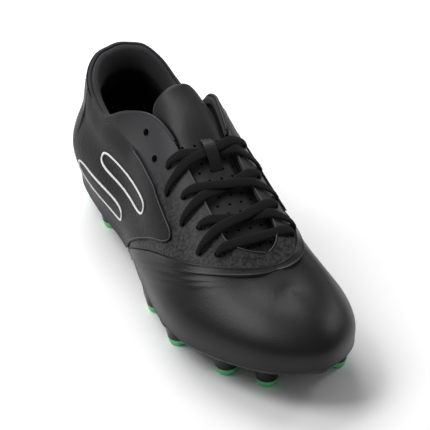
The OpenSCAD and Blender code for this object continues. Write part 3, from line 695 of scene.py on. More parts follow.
def lace_route():
    """The whole way from one end to the other."""
    route = folded_end(OUTER)
    for i, stop in enumerate(STOPS):
        route += passing(stop)
        if stop[2] > 0:
            way_out = i < len(STOPS) // 2
            route += crossing(stop, STOPS[i + 1], UNDER_CROSSING_D if way_out else TOP_CROSSING_D)
    return np.array(route + folded_end(INNER)[::-1], float)


ROUTE = lace_route()
print("route points:", len(ROUTE))


# %% Ribbon along the route
RINGS_PER_STEP, LACE_SIDES = 6, 14
ALONG_FOOT, DOWN = np.array([0, -0.906, -0.423]), np.array([0, 0, -1.0])
HANK_TURN = 6


def tube(name, rings, uv=None):
    """A closed mesh through rings of points, in mm, with flat ends."""
    count, sides = rings.shape[:2]
    number = np.arange(count * sides).reshape(count, sides)
    after = np.roll(number, -1, axis=1)
    faces = np.stack([number[:-1], number[1:], after[1:], after[:-1]], -1).reshape(-1, 4).tolist()
    faces += [number[0].tolist(), number[-1][::-1].tolist()]
    mesh = bpy.data.meshes.new(name)
    mesh.from_pydata((rings.reshape(-1, 3) * MM).tolist(), [], faces)
    if uv is not None:
        lay_uv(mesh, uv)
    return add_piece(name, mesh)


def soft_power(x, p):
    """A power that keeps the sign: of sine and cosine it makes a rounded box."""
    return np.sign(x) * np.abs(x)**p


def smooth_route(points, steps):
    """Catmull-Rom curve through the points, with a handle no longer than a third of its chord."""
    chord = np.linalg.norm(np.diff(points[:, :3], axis=0), axis=1)
    slope = np.zeros_like(points)
    slope[1:-1] = points[2:] - points[:-2]
    slope[0], slope[-1] = points[1] - points[0], points[-1] - points[-2]
    slope /= np.maximum(np.linalg.norm(slope[:, :3], axis=1, keepdims=True), 1e-9)
    made = []
    for i, reach in enumerate(chord):
        f = np.linspace(0, 1, steps, endpoint=False)[:, None]
        a, b = points[i], points[i + 1]
        made.append((2 * f**3 - 3 * f**2 + 1) * a + (f**3 - 2 * f**2 + f) * slope[i] * reach
                    + (3 * f**2 - 2 * f**3) * b + (f**3 - f**2) * slope[i + 1] * reach)
    return np.vstack(made + [points[-1:]])


def ribbon(name, route, thickness, sides):
    """A flat tube along route, rows of [x, y, z, width] in mm."""
    centre, width = route[:, :3], route[:, 3:4]
    tangent = np.gradient(centre, axis=0)
    tangent /= np.linalg.norm(tangent, axis=1, keepdims=True)
    hank = ease((HANK_MID_Z + HANK_TURN - centre[:, 2:3]) / HANK_TURN)
    lie = ALONG_FOOT * (1 - hank) + DOWN * hank
    lie = lie - (lie * tangent).sum(1, keepdims=True) * tangent
    lie /= np.linalg.norm(lie, axis=1, keepdims=True)
    up_way = np.cross(tangent, lie)
    thick = thickness * np.clip(LACE_W / width, 1, 1.6)**0.7
    angle = 2 * np.pi * np.arange(sides) / sides
    flat, full = soft_power(np.cos(angle), 0.7), soft_power(np.sin(angle), 0.8)
    rings = (centre[:, None] + lie[:, None] * (width[:, :, None] / 2 * flat[:, None])
             + up_way[:, None] * (thick[:, :, None] / 2 * full[:, None]))
    uv = np.stack([width / 2 * flat, np.repeat(lengths(centre, 0)[:, None], sides, 1)], -1)
    return tube(name, rings, uv.reshape(-1, 2) * MM)


SMOOTH_ROUTE = smooth_route(ROUTE, RINGS_PER_STEP)
lace = ribbon("woven_lace", SMOOTH_ROUTE, LACE_T, LACE_SIDES)
settle(lace, LACE_FINISH, ["lace", "lace_hank_lateral", "lace_hank_medial"])
lace_line = SMOOTH_ROUTE[:, :3] * MM
lace_length = lengths(lace_line, 0)[-1]
print("lace length, m:", round(lace_length, 3))


# %% Turned pieces
def turned(name, profile, base, sides=32, axis="z"):
    """A solid of revolution: profile is (radius, height) in mm, from its start to its end."""
    angle = 2 * np.pi * np.arange(sides) / sides
    rings = np.array([[r * np.cos(angle), r * np.sin(angle), h + 0 * angle] for r, h in profile])
    order = [0, 1, 2] if axis == "z" else [0, 2, 1]
    return tube(name, rings[:, order].transpose(0, 2, 1) + np.array(base))


AGLET_PROFILE = [(AGLET_R - 0.5, 0), (AGLET_R - 0.1, 0.15), (AGLET_R, 0.6),
                 (AGLET_R, AGLET_LENGTH - 1), (AGLET_R - 0.15, AGLET_LENGTH - 0.3),
                 (AGLET_R - 0.6, AGLET_LENGTH)]
for side, word in SIDES:
    aglet = turned(f"aglet_tip_{word}", AGLET_PROFILE,
                   (side * HANK_BACK, AGLET_START, HANK_MID_Z), 24, "y")
    settle(aglet, AGLET_FINISH, [f"aglet_{word}"])

# %% [markdown]
# ## Vamp and throat band
# The vamp is one skin drawn round the toe, with no seam. A raised band, a folded strip under the
# film, runs over the toe end of the throat and down both sides. The pull of lasting leaves two or
# three soft creases beside the band on the outer side, made here as low ridges in the net.

# %% Vamp
RIDGE_BLUR, RIDGE_BLUR_V = 150, 0.28
VAMP_STATION = 33
# Creases beside the band, in mm: [height, distance from the band, width, share of the waver]
CREASES = [[0.55, 4.6, 1.5, 1], [-0.35, 2, 1.1, 1], [0.35, 9.5, 2.0, 1.5]]


def toe_net(start, low, rows, cols, depth):
    """Grid from the curve start(v) to the tip of the toe, as deep as depth(k, v) says.

    The two halves of the last meet at the ridge. The skin bridges that line, so the net is
    blurred there.
    """
    s = np.linspace(-1, 1, cols)[None, :]
    f = np.linspace(0, 1, rows)[:, None]
    first = start(s)
    k = first + (TOE_K - first) * (1 - (1 - f)**1.5)
    v = s * low(k)
    net = skin(k, v, depth(k, v))
    spread = 0.5 * bump(s[0, 1:-1], RIDGE_BLUR_V)[:, None]
    for _ in range(RIDGE_BLUR):
        net[:, 1:-1] += spread * ((net[:, :-2] + net[:, 2:]) / 2 - net[:, 1:-1])
    return net


def crease(k, v):
    """Height of the creases that run beside the band on the outer side, in mm."""
    away = (k - vamp_k(v)) * VAMP_STATION
    outer = ease((-v - 0.25) / 0.35) * ease((1.05 - np.abs(v)) / 0.2)
    waver = 1.2 * np.sin(9 * v + 1)
    return outer * sum(height * bump(away - far - share * waver, width)
                       for height, far, width, share in CREASES)


vamp = net_piece("vamp_skin", toe_net(vamp_k, lambda k: 1, 90, 181, lambda k, v: -crease(k, v)),
                 toe_net(vamp_k, lambda k: 1, 90, 181, lambda k, v: SHELL_T), toe=True)
settle(vamp, VAMP_FINISH, ["vamp"])

# %% Throat band
def band_net(rows, height):
    """Grid over the band, raised by height(f) from its toe side to its heel side."""
    v = np.linspace(-1, 1, 241)[:, None]
    f = np.linspace(0, 1, rows)[None, :]
    k = vamp_k(v) - BAND_WIDTH * f
    return skin(k, v, -height(f))


def band_height(f):
    """Two rolled edges with a slightly sunken middle."""
    f = 2 * f - 1
    return OVERLAY_T * round_edge(f, 0.05) * (0.72 + 0.28 * bump(np.abs(f) - 0.8, 0.22))


band = net_piece("throat_band_strip", band_net(19, band_height),
                 band_net(19, lambda f: 0 * f - SHELL_T), bevel=0.1)
settle(band, VAMP_FINISH, ["throat_band"])

# %% [markdown]
# ## Midfoot and eyelets
# The midfoot skin carries nine eyelets a side, punched in a zigzag and not riveted. A boolean cuts
# them from the dense net, exactly where the lace passes. The punch leaves a slightly raised lip.

# %% Punched holes
PUNCH_SEGMENTS, PUNCH_LENGTH, LINING_CLEARANCE = 28, 14, 0.8


def hole_cutter(name, side, radius):
    """All the punches of one side in one mesh."""
    work = bmesh.new()
    for i in range(len(EYELETS)):
        k, v = eyelet(i, side)
        out = Vector(normal(k, v))
        place = Vector(skin(k, v) * MM) - out * (LINING_IN / 2 * MM)
        turn = out.to_track_quat("Z", "Y").to_matrix().to_4x4()
        turn.translation = place
        bmesh.ops.create_cone(work, cap_ends=True, segments=PUNCH_SEGMENTS, radius1=radius * MM,
                              radius2=radius * MM, depth=PUNCH_LENGTH * MM, matrix=turn)
    mesh = bpy.data.meshes.new(name)
    work.to_mesh(mesh)
    work.free()
    return add_piece(name, mesh)


def bake_modifiers(piece):
    """Applies the modifiers of a piece to its mesh."""
    view = bpy.context.evaluated_depsgraph_get()
    final = bpy.data.meshes.new_from_object(piece.evaluated_get(view))
    piece.modifiers.clear()
    piece.data = final


def punch(piece, side, radius):
    """Cuts the eyelets of one side from a piece."""
    cutter = hole_cutter("punches", side, radius)
    cut = piece.modifiers.new("punched eyelets", "BOOLEAN")
    cut.object, cut.operation, cut.solver = cutter, "DIFFERENCE", "EXACT"
    bake_modifiers(piece)
    bpy.data.objects.remove(cutter)
    piece.data.set_sharp_from_angle(angle=SHARP_ANGLE)


def side_net(ks, cols, side, top, low, depth):
    """Grid on one side of the foot, from its top edge down to its low edge."""
    k = np.asarray(ks, float)[:, None]
    f = np.linspace(0, 1, cols)[None, :]
    a, b = top(k), low(k)
    v = side * (a + (b - a) * f)
    d = depth(k, f) if callable(depth) else depth
    return skin(k + 0 * v, v, d)


# %% Midfoot skins
# Panels that meet stay this far apart across, so that their faces do not touch
SEAM_V = 0.003
LINING_FLOOR = 2.3
midfoot_ks = np.concatenate([np.linspace(MIDFOOT_START, 6, 74), np.linspace(6.03, 7.0, 34),
                             7 + (BAND_PEAK - BAND_WIDTH - 7) * np.linspace(0.1, 0.999, 14)])
lining_ks = np.linspace(3.53, 6.76, 60)


def lining_low(k):
    """Low edge of the linings, just over the edge of the sole."""
    return v_at(k, LINING_FLOOR, LINING_D)


for side, word in SIDES:
    edges = [side, lambda k, s=side: rim(k, s) + SEAM_V * (k < THROAT_END),
             lambda k, s=side: band_v(k, s) - SEAM_V * (k < 6.9)]
    midfoot = net_piece(f"midfoot_skin_{word}", side_net(midfoot_ks, 60, *edges, 0.0),
                        side_net(midfoot_ks, 60, *edges, SHELL_T), bevel=0)
    punch(midfoot, side, EYELET_R)
    settle(midfoot, MIDFOOT_FINISH, [f"midfoot_{word}"])
    edges = [side, lambda k, s=side: rim(k, s) + 0.01,
             lambda k, s=side: np.minimum(lining_low(k), band_v(k, s) - 0.03)]
    lining = net_piece(f"midfoot_knit_{word}", side_net(lining_ks, 40, *edges, LINING_D),
                       side_net(lining_ks, 40, *edges, LINING_IN), bevel=0)
    punch(lining, side, EYELET_R + LINING_CLEARANCE)
    settle(lining, LINING_FINISH, [f"midfoot_lining_{word}"])


# %% Lips round the eyelets
LIP_OUT, LIP_WIRE, LIP_FLATNESS = 0.15, 0.32, 0.6
LIP_SIDES, LIP_STEPS = 8, 28


def ring_set(name, places, radius):
    """Rings lying on the skin, one at each (k, v)."""
    points, faces = [], []
    angle = 2 * np.pi * np.arange(LIP_STEPS) / LIP_STEPS
    small = 2 * np.pi * np.arange(LIP_SIDES) / LIP_SIDES
    size = LIP_STEPS * LIP_SIDES
    for k, v in places:
        n, c = normal(k, v), skin(k, v)
        a = np.cross(n, [0, 1, 0])
        a /= np.linalg.norm(a)
        b = np.cross(n, a)
        out = np.cos(angle)[:, None] * a + np.sin(angle)[:, None] * b
        ring = (c + out[:, None] * (radius + LIP_WIRE * np.cos(small)[:, None])
                + n * (LIP_WIRE * LIP_FLATNESS * np.sin(small)[:, None]))
        number = len(points) * size + np.arange(size).reshape(LIP_STEPS, LIP_SIDES)
        n1, n2 = np.roll(number, -1, 0), np.roll(number, -1, 1)
        faces += np.stack([number, n1, np.roll(n1, -1, 1), n2], -1).reshape(-1, 4).tolist()
        points.append(ring.reshape(-1, 3))
    mesh = bpy.data.meshes.new(name)
    mesh.from_pydata((np.concatenate(points) * MM).tolist(), [], faces)
    return add_piece(name, mesh, merge=0.001)


for side, word in SIDES:
    places = [eyelet(i, side) for i in range(len(EYELETS))]
    lips = ring_set(f"eyelet_lips_{word}", places, EYELET_R + LIP_OUT)
    settle(lips, MIDFOOT_FINISH, [])

# %% [markdown]
# ## Rear quarters, side panels and heel tab
# Behind the midfoot one skin goes round the heel. A thin side panel lies over it: it leaves the
# collar, runs forward under the eyelets and ends in a rounded corner. Its step is clear at the
# front and dies out under the collar. A heel tab covers the back.

# %% Rear quarters
def heel_net(reach_k, steps, top, low, fs, depth):
    """Grid round the heel from the outer side to the inner side."""
    s = np.linspace(-reach_k, reach_k, steps)[:, None]
    k = np.abs(s)
    f = np.asarray(fs, float)[None, :]
    side = np.where(s < 0, OUTER, INNER)
    a = np.where(s < 0, top(k, OUTER), top(k, INNER))
    b = np.where(s < 0, low(k, OUTER), low(k, INNER))
    v = side * (a + (b - a) * f)
    return skin(k + 0 * v, v, depth(k, f) if callable(depth) else depth)


quarter_net = [MIDFOOT_START, 201, rim, lambda k, s: 1 + 0 * k, np.linspace(0, 1, 60)]
quarters = net_piece("rear_quarters_skin", heel_net(*quarter_net, 0.0),
                     heel_net(*quarter_net, SHELL_T), bevel=0)
settle(quarters, QUARTER_FINISH, ["rear_quarter_lateral", "rear_quarter_medial"])

# %% Side panels
HEEL_TAB_K, HEEL_TAB_H = 2.2, 62
PANEL_FACE = -(OVERLAY_GAP + OVERLAY_T)
LAST_STRAIGHT_K = PANEL_TIP - PANEL_CORNER


def heel_tab_low(k):
    """Low edge of the heel tab, which drops by a quarter towards its sides."""
    return v_at(k, HEEL_TAB_H * (1 - 0.25 * (k / HEEL_TAB_K)**2))


def panel_step(k, f):
    """Depth of the panel's face: raised by the film, and dying out towards the collar."""
    fade = (1 - ease(f / 0.25)) * (1 - ease((k - 3.75) / 0.4)) * ease((k - HEEL_TAB_K) / 0.3)
    return PANEL_FACE * (1 - fade) - 0.02


for side, word in SIDES:
    ks = np.concatenate([np.linspace(0.01, HEEL_TAB_K - 0.01, 60),
                         np.linspace(HEEL_TAB_K + 0.01, LAST_STRAIGHT_K, 90),
                         PANEL_TIP - PANEL_CORNER * np.cos(np.linspace(0.1, np.pi / 2, 12))])
    edges = [side, lambda k, s=side: np.where(k < HEEL_TAB_K, heel_tab_low(k) + SEAM_V,
                                              panel_edges(k, s)[0]),
             lambda k, s=side: panel_edges(k, s)[1]]
    panel = net_piece(f"side_panel_film_{word}", side_net(ks, 60, *edges, panel_step),
                      side_net(ks, 60, *edges, 0.3), bevel=0.45)
    settle(panel, PANEL_FINISH, [f"side_panel_{word}"])

# %% Heel tab
tab_net = [HEEL_TAB_K - 0.02, 161, rim, lambda k, s: heel_tab_low(k), np.linspace(0, 1, 24)]
tab = net_piece("heel_tab_overlay", heel_net(*tab_net, PANEL_FACE), heel_net(*tab_net, 0.2),
                bevel=0.45)
settle(tab, TAB_FINISH, ["heel_tab"])

# %% [markdown]
# ## Collar
# The collar is foam under a knit that rolls over the edge of the skin and is stitched down in a
# groove just inside it. Seen from above it is a soft band that is broadest at the heel and dies out
# towards the eyelets. The cross-section is drawn once and carried round the opening.

# %% Collar cross-section and pad
COLLAR_K, PAD_FULL = 4.5, 5.0
# Across the roll: [shift over the edge in v, depth in mm, share that grows with the padding]
COLLAR_PROFILE = [[0.012, 0.25, 0], [0.0, 0.0, 0], [-0.009, 0.4, 0], [-0.012, 1.1, 0],
                  [-0.010, 1.8, 0], [0.008, 2.3, 0], [-0.008, 2.75, 0.05], [-0.018, 3.2, 0.2],
                  [-0.020, 3.6, 0.45], [-0.012, 3.8, 0.7], [0.004, 4.1, 0.9], [0.03, 4.3, 1],
                  [0.06, 4.4, 0.95], [0.095, 4.4, 0.7], [0.125, 4.4, 0.35], [0.15, 4.4, 0.1]]
# Depth of the tail beside the lacing, least depth of the back, and least thickness
TAIL_D, BACK_D, FACE_TO_BACK = 1.1, 1.9, 0.15


def pad_amount(k):
    """How full the padding is at station k, from 1 at the heel to a quarter at the eyelets."""
    return 1 - 0.75 * ease((k - 2.6) / 0.9)


def collar_nets(steps, fine):
    """The collar's face and back, from one side of the lacing round the heel to the other."""
    s = np.linspace(-COLLAR_K, COLLAR_K, steps)[:, None]
    k = np.abs(s)
    side = np.where(s < 0, OUTER, INNER)
    edge = np.where(s < 0, rim(k, OUTER), rim(k, INNER))
    profile = np.array(COLLAR_PROFILE)
    t = np.linspace(0, len(profile) - 1, fine)
    shift, depth, swell = [along(profile[:, c], t)[None, :] for c in range(3)]
    full = pad_amount(k)
    narrow = np.where(shift > 0.02, 1 - 0.75 * ease((k - 3.2) / 0.4), 1)
    v = edge + shift * (0.6 + 0.4 * full) * narrow
    d = depth + swell * PAD_FULL * full
    beside_lacing = ease((k - MIDFOOT_START) / 0.15)
    end_v, end_d = v[:, -1:], d[:, -1:]
    floor_v = lining_low(k) * (1 - beside_lacing) + (end_v + 0.004) * beside_lacing
    run = np.linspace(0.03, 1, 34)[None, :]
    down_v = end_v + (floor_v - end_v) * run
    down_d = (LINING_D + (end_d - LINING_D) * np.exp(-run * 9) * (1 - beside_lacing)
              + TAIL_D * beside_lacing)
    v, d = np.hstack([v, down_v]), np.hstack([d, down_d])
    back = np.minimum(np.maximum(d - LINING_T, np.minimum(BACK_D, d - FACE_TO_BACK)),
                      d - FACE_TO_BACK)
    return skin(k + 0 * v, side * v, d), skin(k + 0 * v, side * v, back)


collar = net_piece("collar_padding", *collar_nets(221, 60), bevel=0)
settle(collar, COLLAR_FINISH, ["collar_foam", "collar_topline", "heel_lining"])

# %% Vamp lining
def band_line(v):
    """Heel-side edge of the band."""
    return vamp_k(v) - BAND_WIDTH


vamp_lining_net = [band_line, lining_low, 40, 81]
vamp_knit = net_piece("vamp_knit", toe_net(*vamp_lining_net, lambda k, v: LINING_D),
                      toe_net(*vamp_lining_net, lambda k, v: LINING_IN), toe=True, bevel=0)
settle(vamp_knit, LINING_FINISH, ["vamp_lining"])

# %% [markdown]
# ## Tongue
# The tongue is one padded flap: a microfibre face, foam and a knit back, sewn together round the
# edge, so it is crowned and thins towards its sides. Its top folds forward when a foot goes in;
# here the mesh is one piece, not cut in two, and rides on no body of the CAD model.

# %% Tongue mesh
FOLD_K, TONGUE_TOE_K, TONGUE_TOP_K = 4.42, 6.95, 3.62
TONGUE_DEPTH, TONGUE_T = 5.3, 4.6
TONGUE_NARROW, TONGUE_CORNER, TONGUE_IN_RIM = 0.22, 0.22, 0.02
# Millimetres per station at the tongue's two ends, over which they round off within END_ROUND
TOP_STATION, TOE_STATION, END_ROUND = 34, 30, 3


def tongue_d(k):
    """Depth of the face: under the lacing, then sinking into the opening above the fold."""
    return TONGUE_DEPTH + 5.5 * ease((FOLD_K - k) / 0.9)


def tongue_half(k):
    """Half width: wide at the top with round corners, and narrow under the lacing."""
    widest = rim(np.minimum(k, FOLD_K), OUTER) - TONGUE_IN_RIM
    wide = TONGUE_NARROW + (widest - TONGUE_NARROW) * ease((FOLD_K + 0.1 - k) / 0.25)
    corner = np.clip((k - TONGUE_TOP_K) / TONGUE_CORNER, 0, 1)
    return wide * (0.55 + 0.45 * np.sqrt(1 - (1 - corner)**2))


def tongue_nets(rows, cols):
    """The tongue's face and back, flat and not yet stuffed."""
    k = np.linspace(TONGUE_TOP_K, TONGUE_TOE_K, rows)[:, None]
    f = np.linspace(-1, 1, cols)[None, :]
    v = f * tongue_half(k)
    ends = np.minimum((k - TONGUE_TOP_K) * TOP_STATION, (TONGUE_TOE_K - k) * TOE_STATION)
    round_end = np.sqrt(1 - (1 - np.clip(ends / END_ROUND, 0, 1))**2)
    thick = TONGUE_T * (0.25 + 0.75 * round_end * round_edge(f))
    middle = tongue_d(k) + TONGUE_T / 2
    crown = 0.3 * (1 - f**2) * ease((TONGUE_TOE_K - k) / 0.6)
    k = k + 0 * v
    return skin(k, v, middle - thick / 2 - crown), skin(k, v, middle + thick / 2)


# %% [markdown]
# ### Stuffing the tongue
# Foam pushes the two layers apart while the sewn edge holds them, and that gives a padded flap its
# soft, slightly uneven fullness. Cloth with air pressure inside does the same: the edge is pinned,
# gravity is off, and the layers swell for a moment before the shape is kept.

# %% Cloth simulation
PAD_PRESSURE, PAD_VERTEX_MASS, PAD_STIFFNESS, PAD_BENDING, PAD_FRAMES = 3.0, 0.001, 6, 0.01, 18
SEWN_ROWS = 2


def stuff(piece, edge_points):
    """Swells a pad with cloth pressure while the vertices at edge_points (mm) stay in place."""
    tree = KDTree(len(edge_points))
    for i, point in enumerate(edge_points):
        tree.insert(point * MM, i)
    tree.balance()
    vertices = piece.data.vertices
    sewn = [v.index for v in vertices if tree.find(v.co)[2] < 0.01 * MM]
    piece.vertex_groups.new(name="sewn edge").add(sewn, 1.0, "REPLACE")
    swelling = piece.modifiers.new("stuffing", "CLOTH")
    swelling.point_cache.frame_end = PAD_FRAMES
    swelling.collision_settings.use_collision = False
    cloth = swelling.settings
    cloth.vertex_group_mass, cloth.mass, cloth.quality = "sewn edge", PAD_VERTEX_MASS, 5
    cloth.tension_stiffness = cloth.compression_stiffness = PAD_STIFFNESS
    cloth.shear_stiffness, cloth.bending_stiffness = PAD_STIFFNESS / 2, PAD_BENDING
    cloth.use_pressure, cloth.uniform_pressure_force = True, PAD_PRESSURE
    cloth.effector_weights.gravity = 0
    for frame_number in range(1, PAD_FRAMES + 1):
        bpy.context.scene.frame_set(frame_number)
    swollen = piece.evaluated_get(bpy.context.evaluated_depsgraph_get()).data
    places = np.empty(3 * len(vertices))
    swollen.vertices.foreach_get("co", places)
    before = np.empty_like(places)
    vertices.foreach_get("co", before)
    piece.modifiers.remove(swelling)
    piece.vertex_groups.clear()
    vertices.foreach_set("co", places)
    piece.data.update()
    bpy.context.scene.frame_set(1)
    moved = np.linalg.norm((places - before).reshape(-1, 3), axis=1) / MM
    print(f"{piece.name} swelled by {moved.mean():.2f} mm, at most {moved.max():.2f} mm")


tongue_out, tongue_in = tongue_nets(120, 45)
tongue = net_piece("tongue_pad", tongue_out, tongue_in, bevel=0)
sewn_edge = np.ones(tongue_out.shape[:2], bool)
sewn_edge[SEWN_ROWS:-SEWN_ROWS, SEWN_ROWS:-SEWN_ROWS] = False
stuff(tongue, np.concatenate([tongue_out[sewn_edge], tongue_in[sewn_edge]]))
tongue_nodes = [f"tongue_{layer}_{part}" for layer in ("face", "foam", "lining")
                for part in ("lower", "upper")]
settle(tongue, TONGUE_FINISH, tongue_nodes, body=None)
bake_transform(tongue)

# %% Lace keeper
KEEPER_TOP_K, KEEPER_TOE_K, KEEPER_V, KEEPER_ARCH, KEEPER_T = 4.55, 5, 0.03, 6, 0.7


def keeper_net(lift):
    """Grid over the strip, which arches over the lace."""
    f = np.linspace(0, 1, 41)[:, None]
    k = KEEPER_TOP_K + (KEEPER_TOE_K - KEEPER_TOP_K) * f
    v = np.linspace(-KEEPER_V, KEEPER_V, 9)[None, :]
    arch = KEEPER_ARCH * np.sin(np.pi * f)
    return skin(k + 0 * v, v + 0 * k, TONGUE_DEPTH - 0.15 - arch - lift)


keeper = net_piece("lace_keeper_strip", keeper_net(KEEPER_T), keeper_net(0.0), bevel=0.2)
settle(keeper, TONGUE_FINISH, ["lace_keeper"])

# %% [markdown]
# ## Sole
# The plate is one nylon moulding: a shallow tray with a rim, and twelve cone studs that flare into
# it. Each stud ends in a softer coloured tip. The flare is a fillet, so the stud profile is drawn
# and turned, and the underside gets two ribs that stiffen the arch.

# %% Plate
STUDS = [[-25, 119], [17, 118], [-29, 83], [19, 82], [-40, -14], [-42, -50], [-28.5, -88],
         [-12, -108], [32, -108], [33, -73], [30, -36], [-3, -64]]
PLATE_RIM, PLATE_T, PLATE_EDGE_T, RIB_H = 0.1, 4.5, 3.0, 1.1
SOLE_ENDS = 0.04


def inset_xy(k, outer, d):
    """x and y of the sole edge moved inward by d."""
    edge, ridge = side_xy(k, outer), ridge_xy(k)
    reach = np.hypot(edge[0] - ridge[0], edge[1] - ridge[1])
    return [ridge[a] + (edge[a] - ridge[a]) * (reach - d) / reach for a in (0, 1)]


def sole_net(rows, cols, inset, height):
    """Grid under the foot, from the outer edge to the inner edge."""
    half = TOE_K / 2
    k = (half - (half - SOLE_ENDS) * np.cos(np.linspace(0, np.pi, rows)))[:, None]
    f = (0.5 - 0.5 * np.cos(np.linspace(0, np.pi, cols)))[None, :]
    p, q = inset_xy(k, True, inset), inset_xy(k, False, inset)
    xy = [p[a] + (q[a] - p[a]) * f for a in (0, 1)]
    return np.stack([xy[0], xy[1], height(k, f) + 0 * xy[0]], -1)


def dish(f):
    """0 in the middle of the sole and 1 at its edges."""
    return np.abs(2 * f - 1)**3


def underside(k, f):
    """Height of the plate's underside, with its two ribs."""
    ribs = bump(f - 0.3, 0.05) + bump(f - 0.7, 0.05)
    arch = ease((k - 2.2) / 0.6) * ease((5.4 - k) / 0.6)
    return feather_z(k) - (PLATE_T + (PLATE_EDGE_T - PLATE_T) * dish(f)) - RIB_H * ribs * arch


plate = net_piece("plate_moulding",
                  sole_net(121, 41, -PLATE_RIM, lambda k, f: feather_z(k) - 0.05),
                  sole_net(121, 41, 2.2, underside), bevel=0.6)
settle(plate, PLATE_FINISH, ["outsole_plate"])


# %% Studs and tips
STUD_TIP_R, STUD_ROOT_R, STUD_TIP_H = 5.6, 12.0, 4.5
STUD_LEDGE, STUD_IN_PLATE, STUD_IN_EDGE = 0.9, 1.5, 0.5
TIP_PROFILE = [(STUD_TIP_R - 1.3, 0), (STUD_TIP_R - 0.45, 0.2), (STUD_TIP_R, 0.9),
               (STUD_TIP_R + 0.85, STUD_TIP_H - 0.2), (STUD_TIP_R + 0.7, STUD_TIP_H)]


def station_at(y):
    """Station of a place along the sole."""
    k = np.linspace(0, TOE_K, 181)
    return np.interp(-y, -(side_xy(k, True)[1] + side_xy(k, False)[1]) / 2, k)


def keep_on_sole(post):
    """Moves the flare of a stud back where it reaches past the edge of the sole."""
    for vert in post.data.vertices:
        k = station_at(vert.co.y / MM)
        outer_x, inner_x = (float(side_xy(k, outer)[0]) for outer in (True, False))
        least, most = (outer_x + STUD_IN_EDGE) * MM, (inner_x - STUD_IN_EDGE) * MM
        vert.co.x = min(max(vert.co.x, least), most)


rise, neck_r = np.linspace(0, 1, 14), STUD_TIP_R + STUD_LEDGE
flare = neck_r + (STUD_ROOT_R - neck_r) * (0.45 * rise + 0.55 * rise**3.5)
for i, (x, y) in enumerate(STUDS, start=1):
    x, y = x - CENTRE[0], y - CENTRE[1]
    root = float(feather_z(station_at(y))) - STUD_IN_PLATE
    profile = list(zip(flare, STUD_TIP_H + (root - STUD_TIP_H) * rise))
    post = turned(f"stud_post_{i:02d}", profile, (x, y, 0))
    keep_on_sole(post)
    settle(post, PLATE_FINISH, [])
    tip = turned(f"green_tip_{i:02d}", TIP_PROFILE, (x, y, 0))
    settle(tip, TIP_FINISH, [f"stud_tip_{i:02d}"])

# %% Sockliner
SOCKLINER_RISE, SOCKLINER_T, SOCKLINER_GAP = 2.2, 4.5, 2


def sockliner_top(k, f):
    """Height of the sockliner's top: thinner at the toe, with raised edges."""
    thick = SOCKLINER_T * (1 - 0.3 * ease((k - 2) / 4))
    return feather_z(k) + SOCKLINER_RISE + thick + 2 * dish(f)


sockliner_area = [101, 31, LINING_IN + SOCKLINER_GAP]
sockliner = net_piece("sockliner_pad", sole_net(*sockliner_area, sockliner_top),
                      sole_net(*sockliner_area, lambda k, f: feather_z(k) + SOCKLINER_RISE),
                      bevel=0.8)
settle(sockliner, SOCKLINER_FINISH, ["sockliner"])

# %% [markdown]
# ## Stitching and bindings
# A lockstitch shows as a row of short threads with gaps. Each stitch is a small rounded bar laid on
# the skin; a loop sets them along an edge curve every few millimetres. The throat's edge is folded
# over into a thin bead, and a thin bead runs along the side panel's edge; their paler colour is a
# painted highlight along these raised edges. A wider bead rounds the roll of the collar beside the
# lacing.

# %% Stitches and beads
STITCH, STITCH_GAP, THREAD_R = 2.3, 0.9, 0.24
BINDING_R, COLLAR_ROLL_R, PANEL_EDGE_R = 0.45, 1.0, 0.3


def resample(points, step):
    """Points every step mm along a line."""
    far = lengths(points, 0)
    at = np.arange(step / 2, far[-1], step)
    return np.stack([np.interp(at, far, points[:, a]) for a in range(3)], -1)


def stitch_row(work, line):
    """Adds small thread bars along a line of points."""
    spots = resample(line, (STITCH + STITCH_GAP) / 2)
    for a, b in zip(spots[:-1:2], spots[1::2]):
        way, centre = Vector(b - a).normalized(), Vector((a + b) / 2 * MM)
        turn = way.to_track_quat("Z", "Y").to_matrix().to_4x4()
        turn.translation = centre
        made = bmesh.ops.create_uvsphere(work, u_segments=6, v_segments=5, radius=THREAD_R * MM,
                                         matrix=turn)
        for vert in made["verts"]:
            reach = (vert.co - centre).dot(way)
            vert.co += way * reach * (STITCH / 2 / THREAD_R - 1)


def bead(name, line, radius, sides=8):
    """A thin round bead along a line of points, in mm."""
    tangent = np.gradient(line, axis=0)
    tangent /= np.linalg.norm(tangent, axis=1, keepdims=True)
    side_way = np.cross(tangent, [0, 0, 1.0])
    side_way /= np.maximum(np.linalg.norm(side_way, axis=1, keepdims=True), 1e-9)
    up_way = np.cross(side_way, tangent)
    angle = 2 * np.pi * np.arange(sides)[:, None] / sides
    return tube(name, line[:, None] + radius * (side_way[:, None] * np.cos(angle)
                                                + up_way[:, None] * np.sin(angle)))


# %% Rows along the edges
STITCH_IN, BEAD_IN, PANEL_BEAD_IN, ROLL_OUT = 0.03, 0.004, 0.010, 0.006
BINDING_FROM, BINDING_TO = 4.5, 6.715
binding_ks = BINDING_TO - (BINDING_TO - BINDING_FROM) * np.linspace(1, 0, 200)**1.8
roll_ks = np.linspace(3.15, 4.47, 60)
front_ks = np.concatenate([np.linspace(3.95, LAST_STRAIGHT_K, 60),
                           PANEL_TIP - PANEL_CORNER * np.cos(np.linspace(0.1, 1.5, 12))])
back_ks = front_ks[::-1][:50]
throat_stitch_ks, collar_stitch_ks = np.linspace(4.6, 6.5, 120), np.linspace(0.15, 3.4, 140)


def beside_rim(k, side, shift, depth):
    """A line on the skin that follows the rim, shift across from it."""
    return skin(k, side * (rim(k, side) + shift), depth)


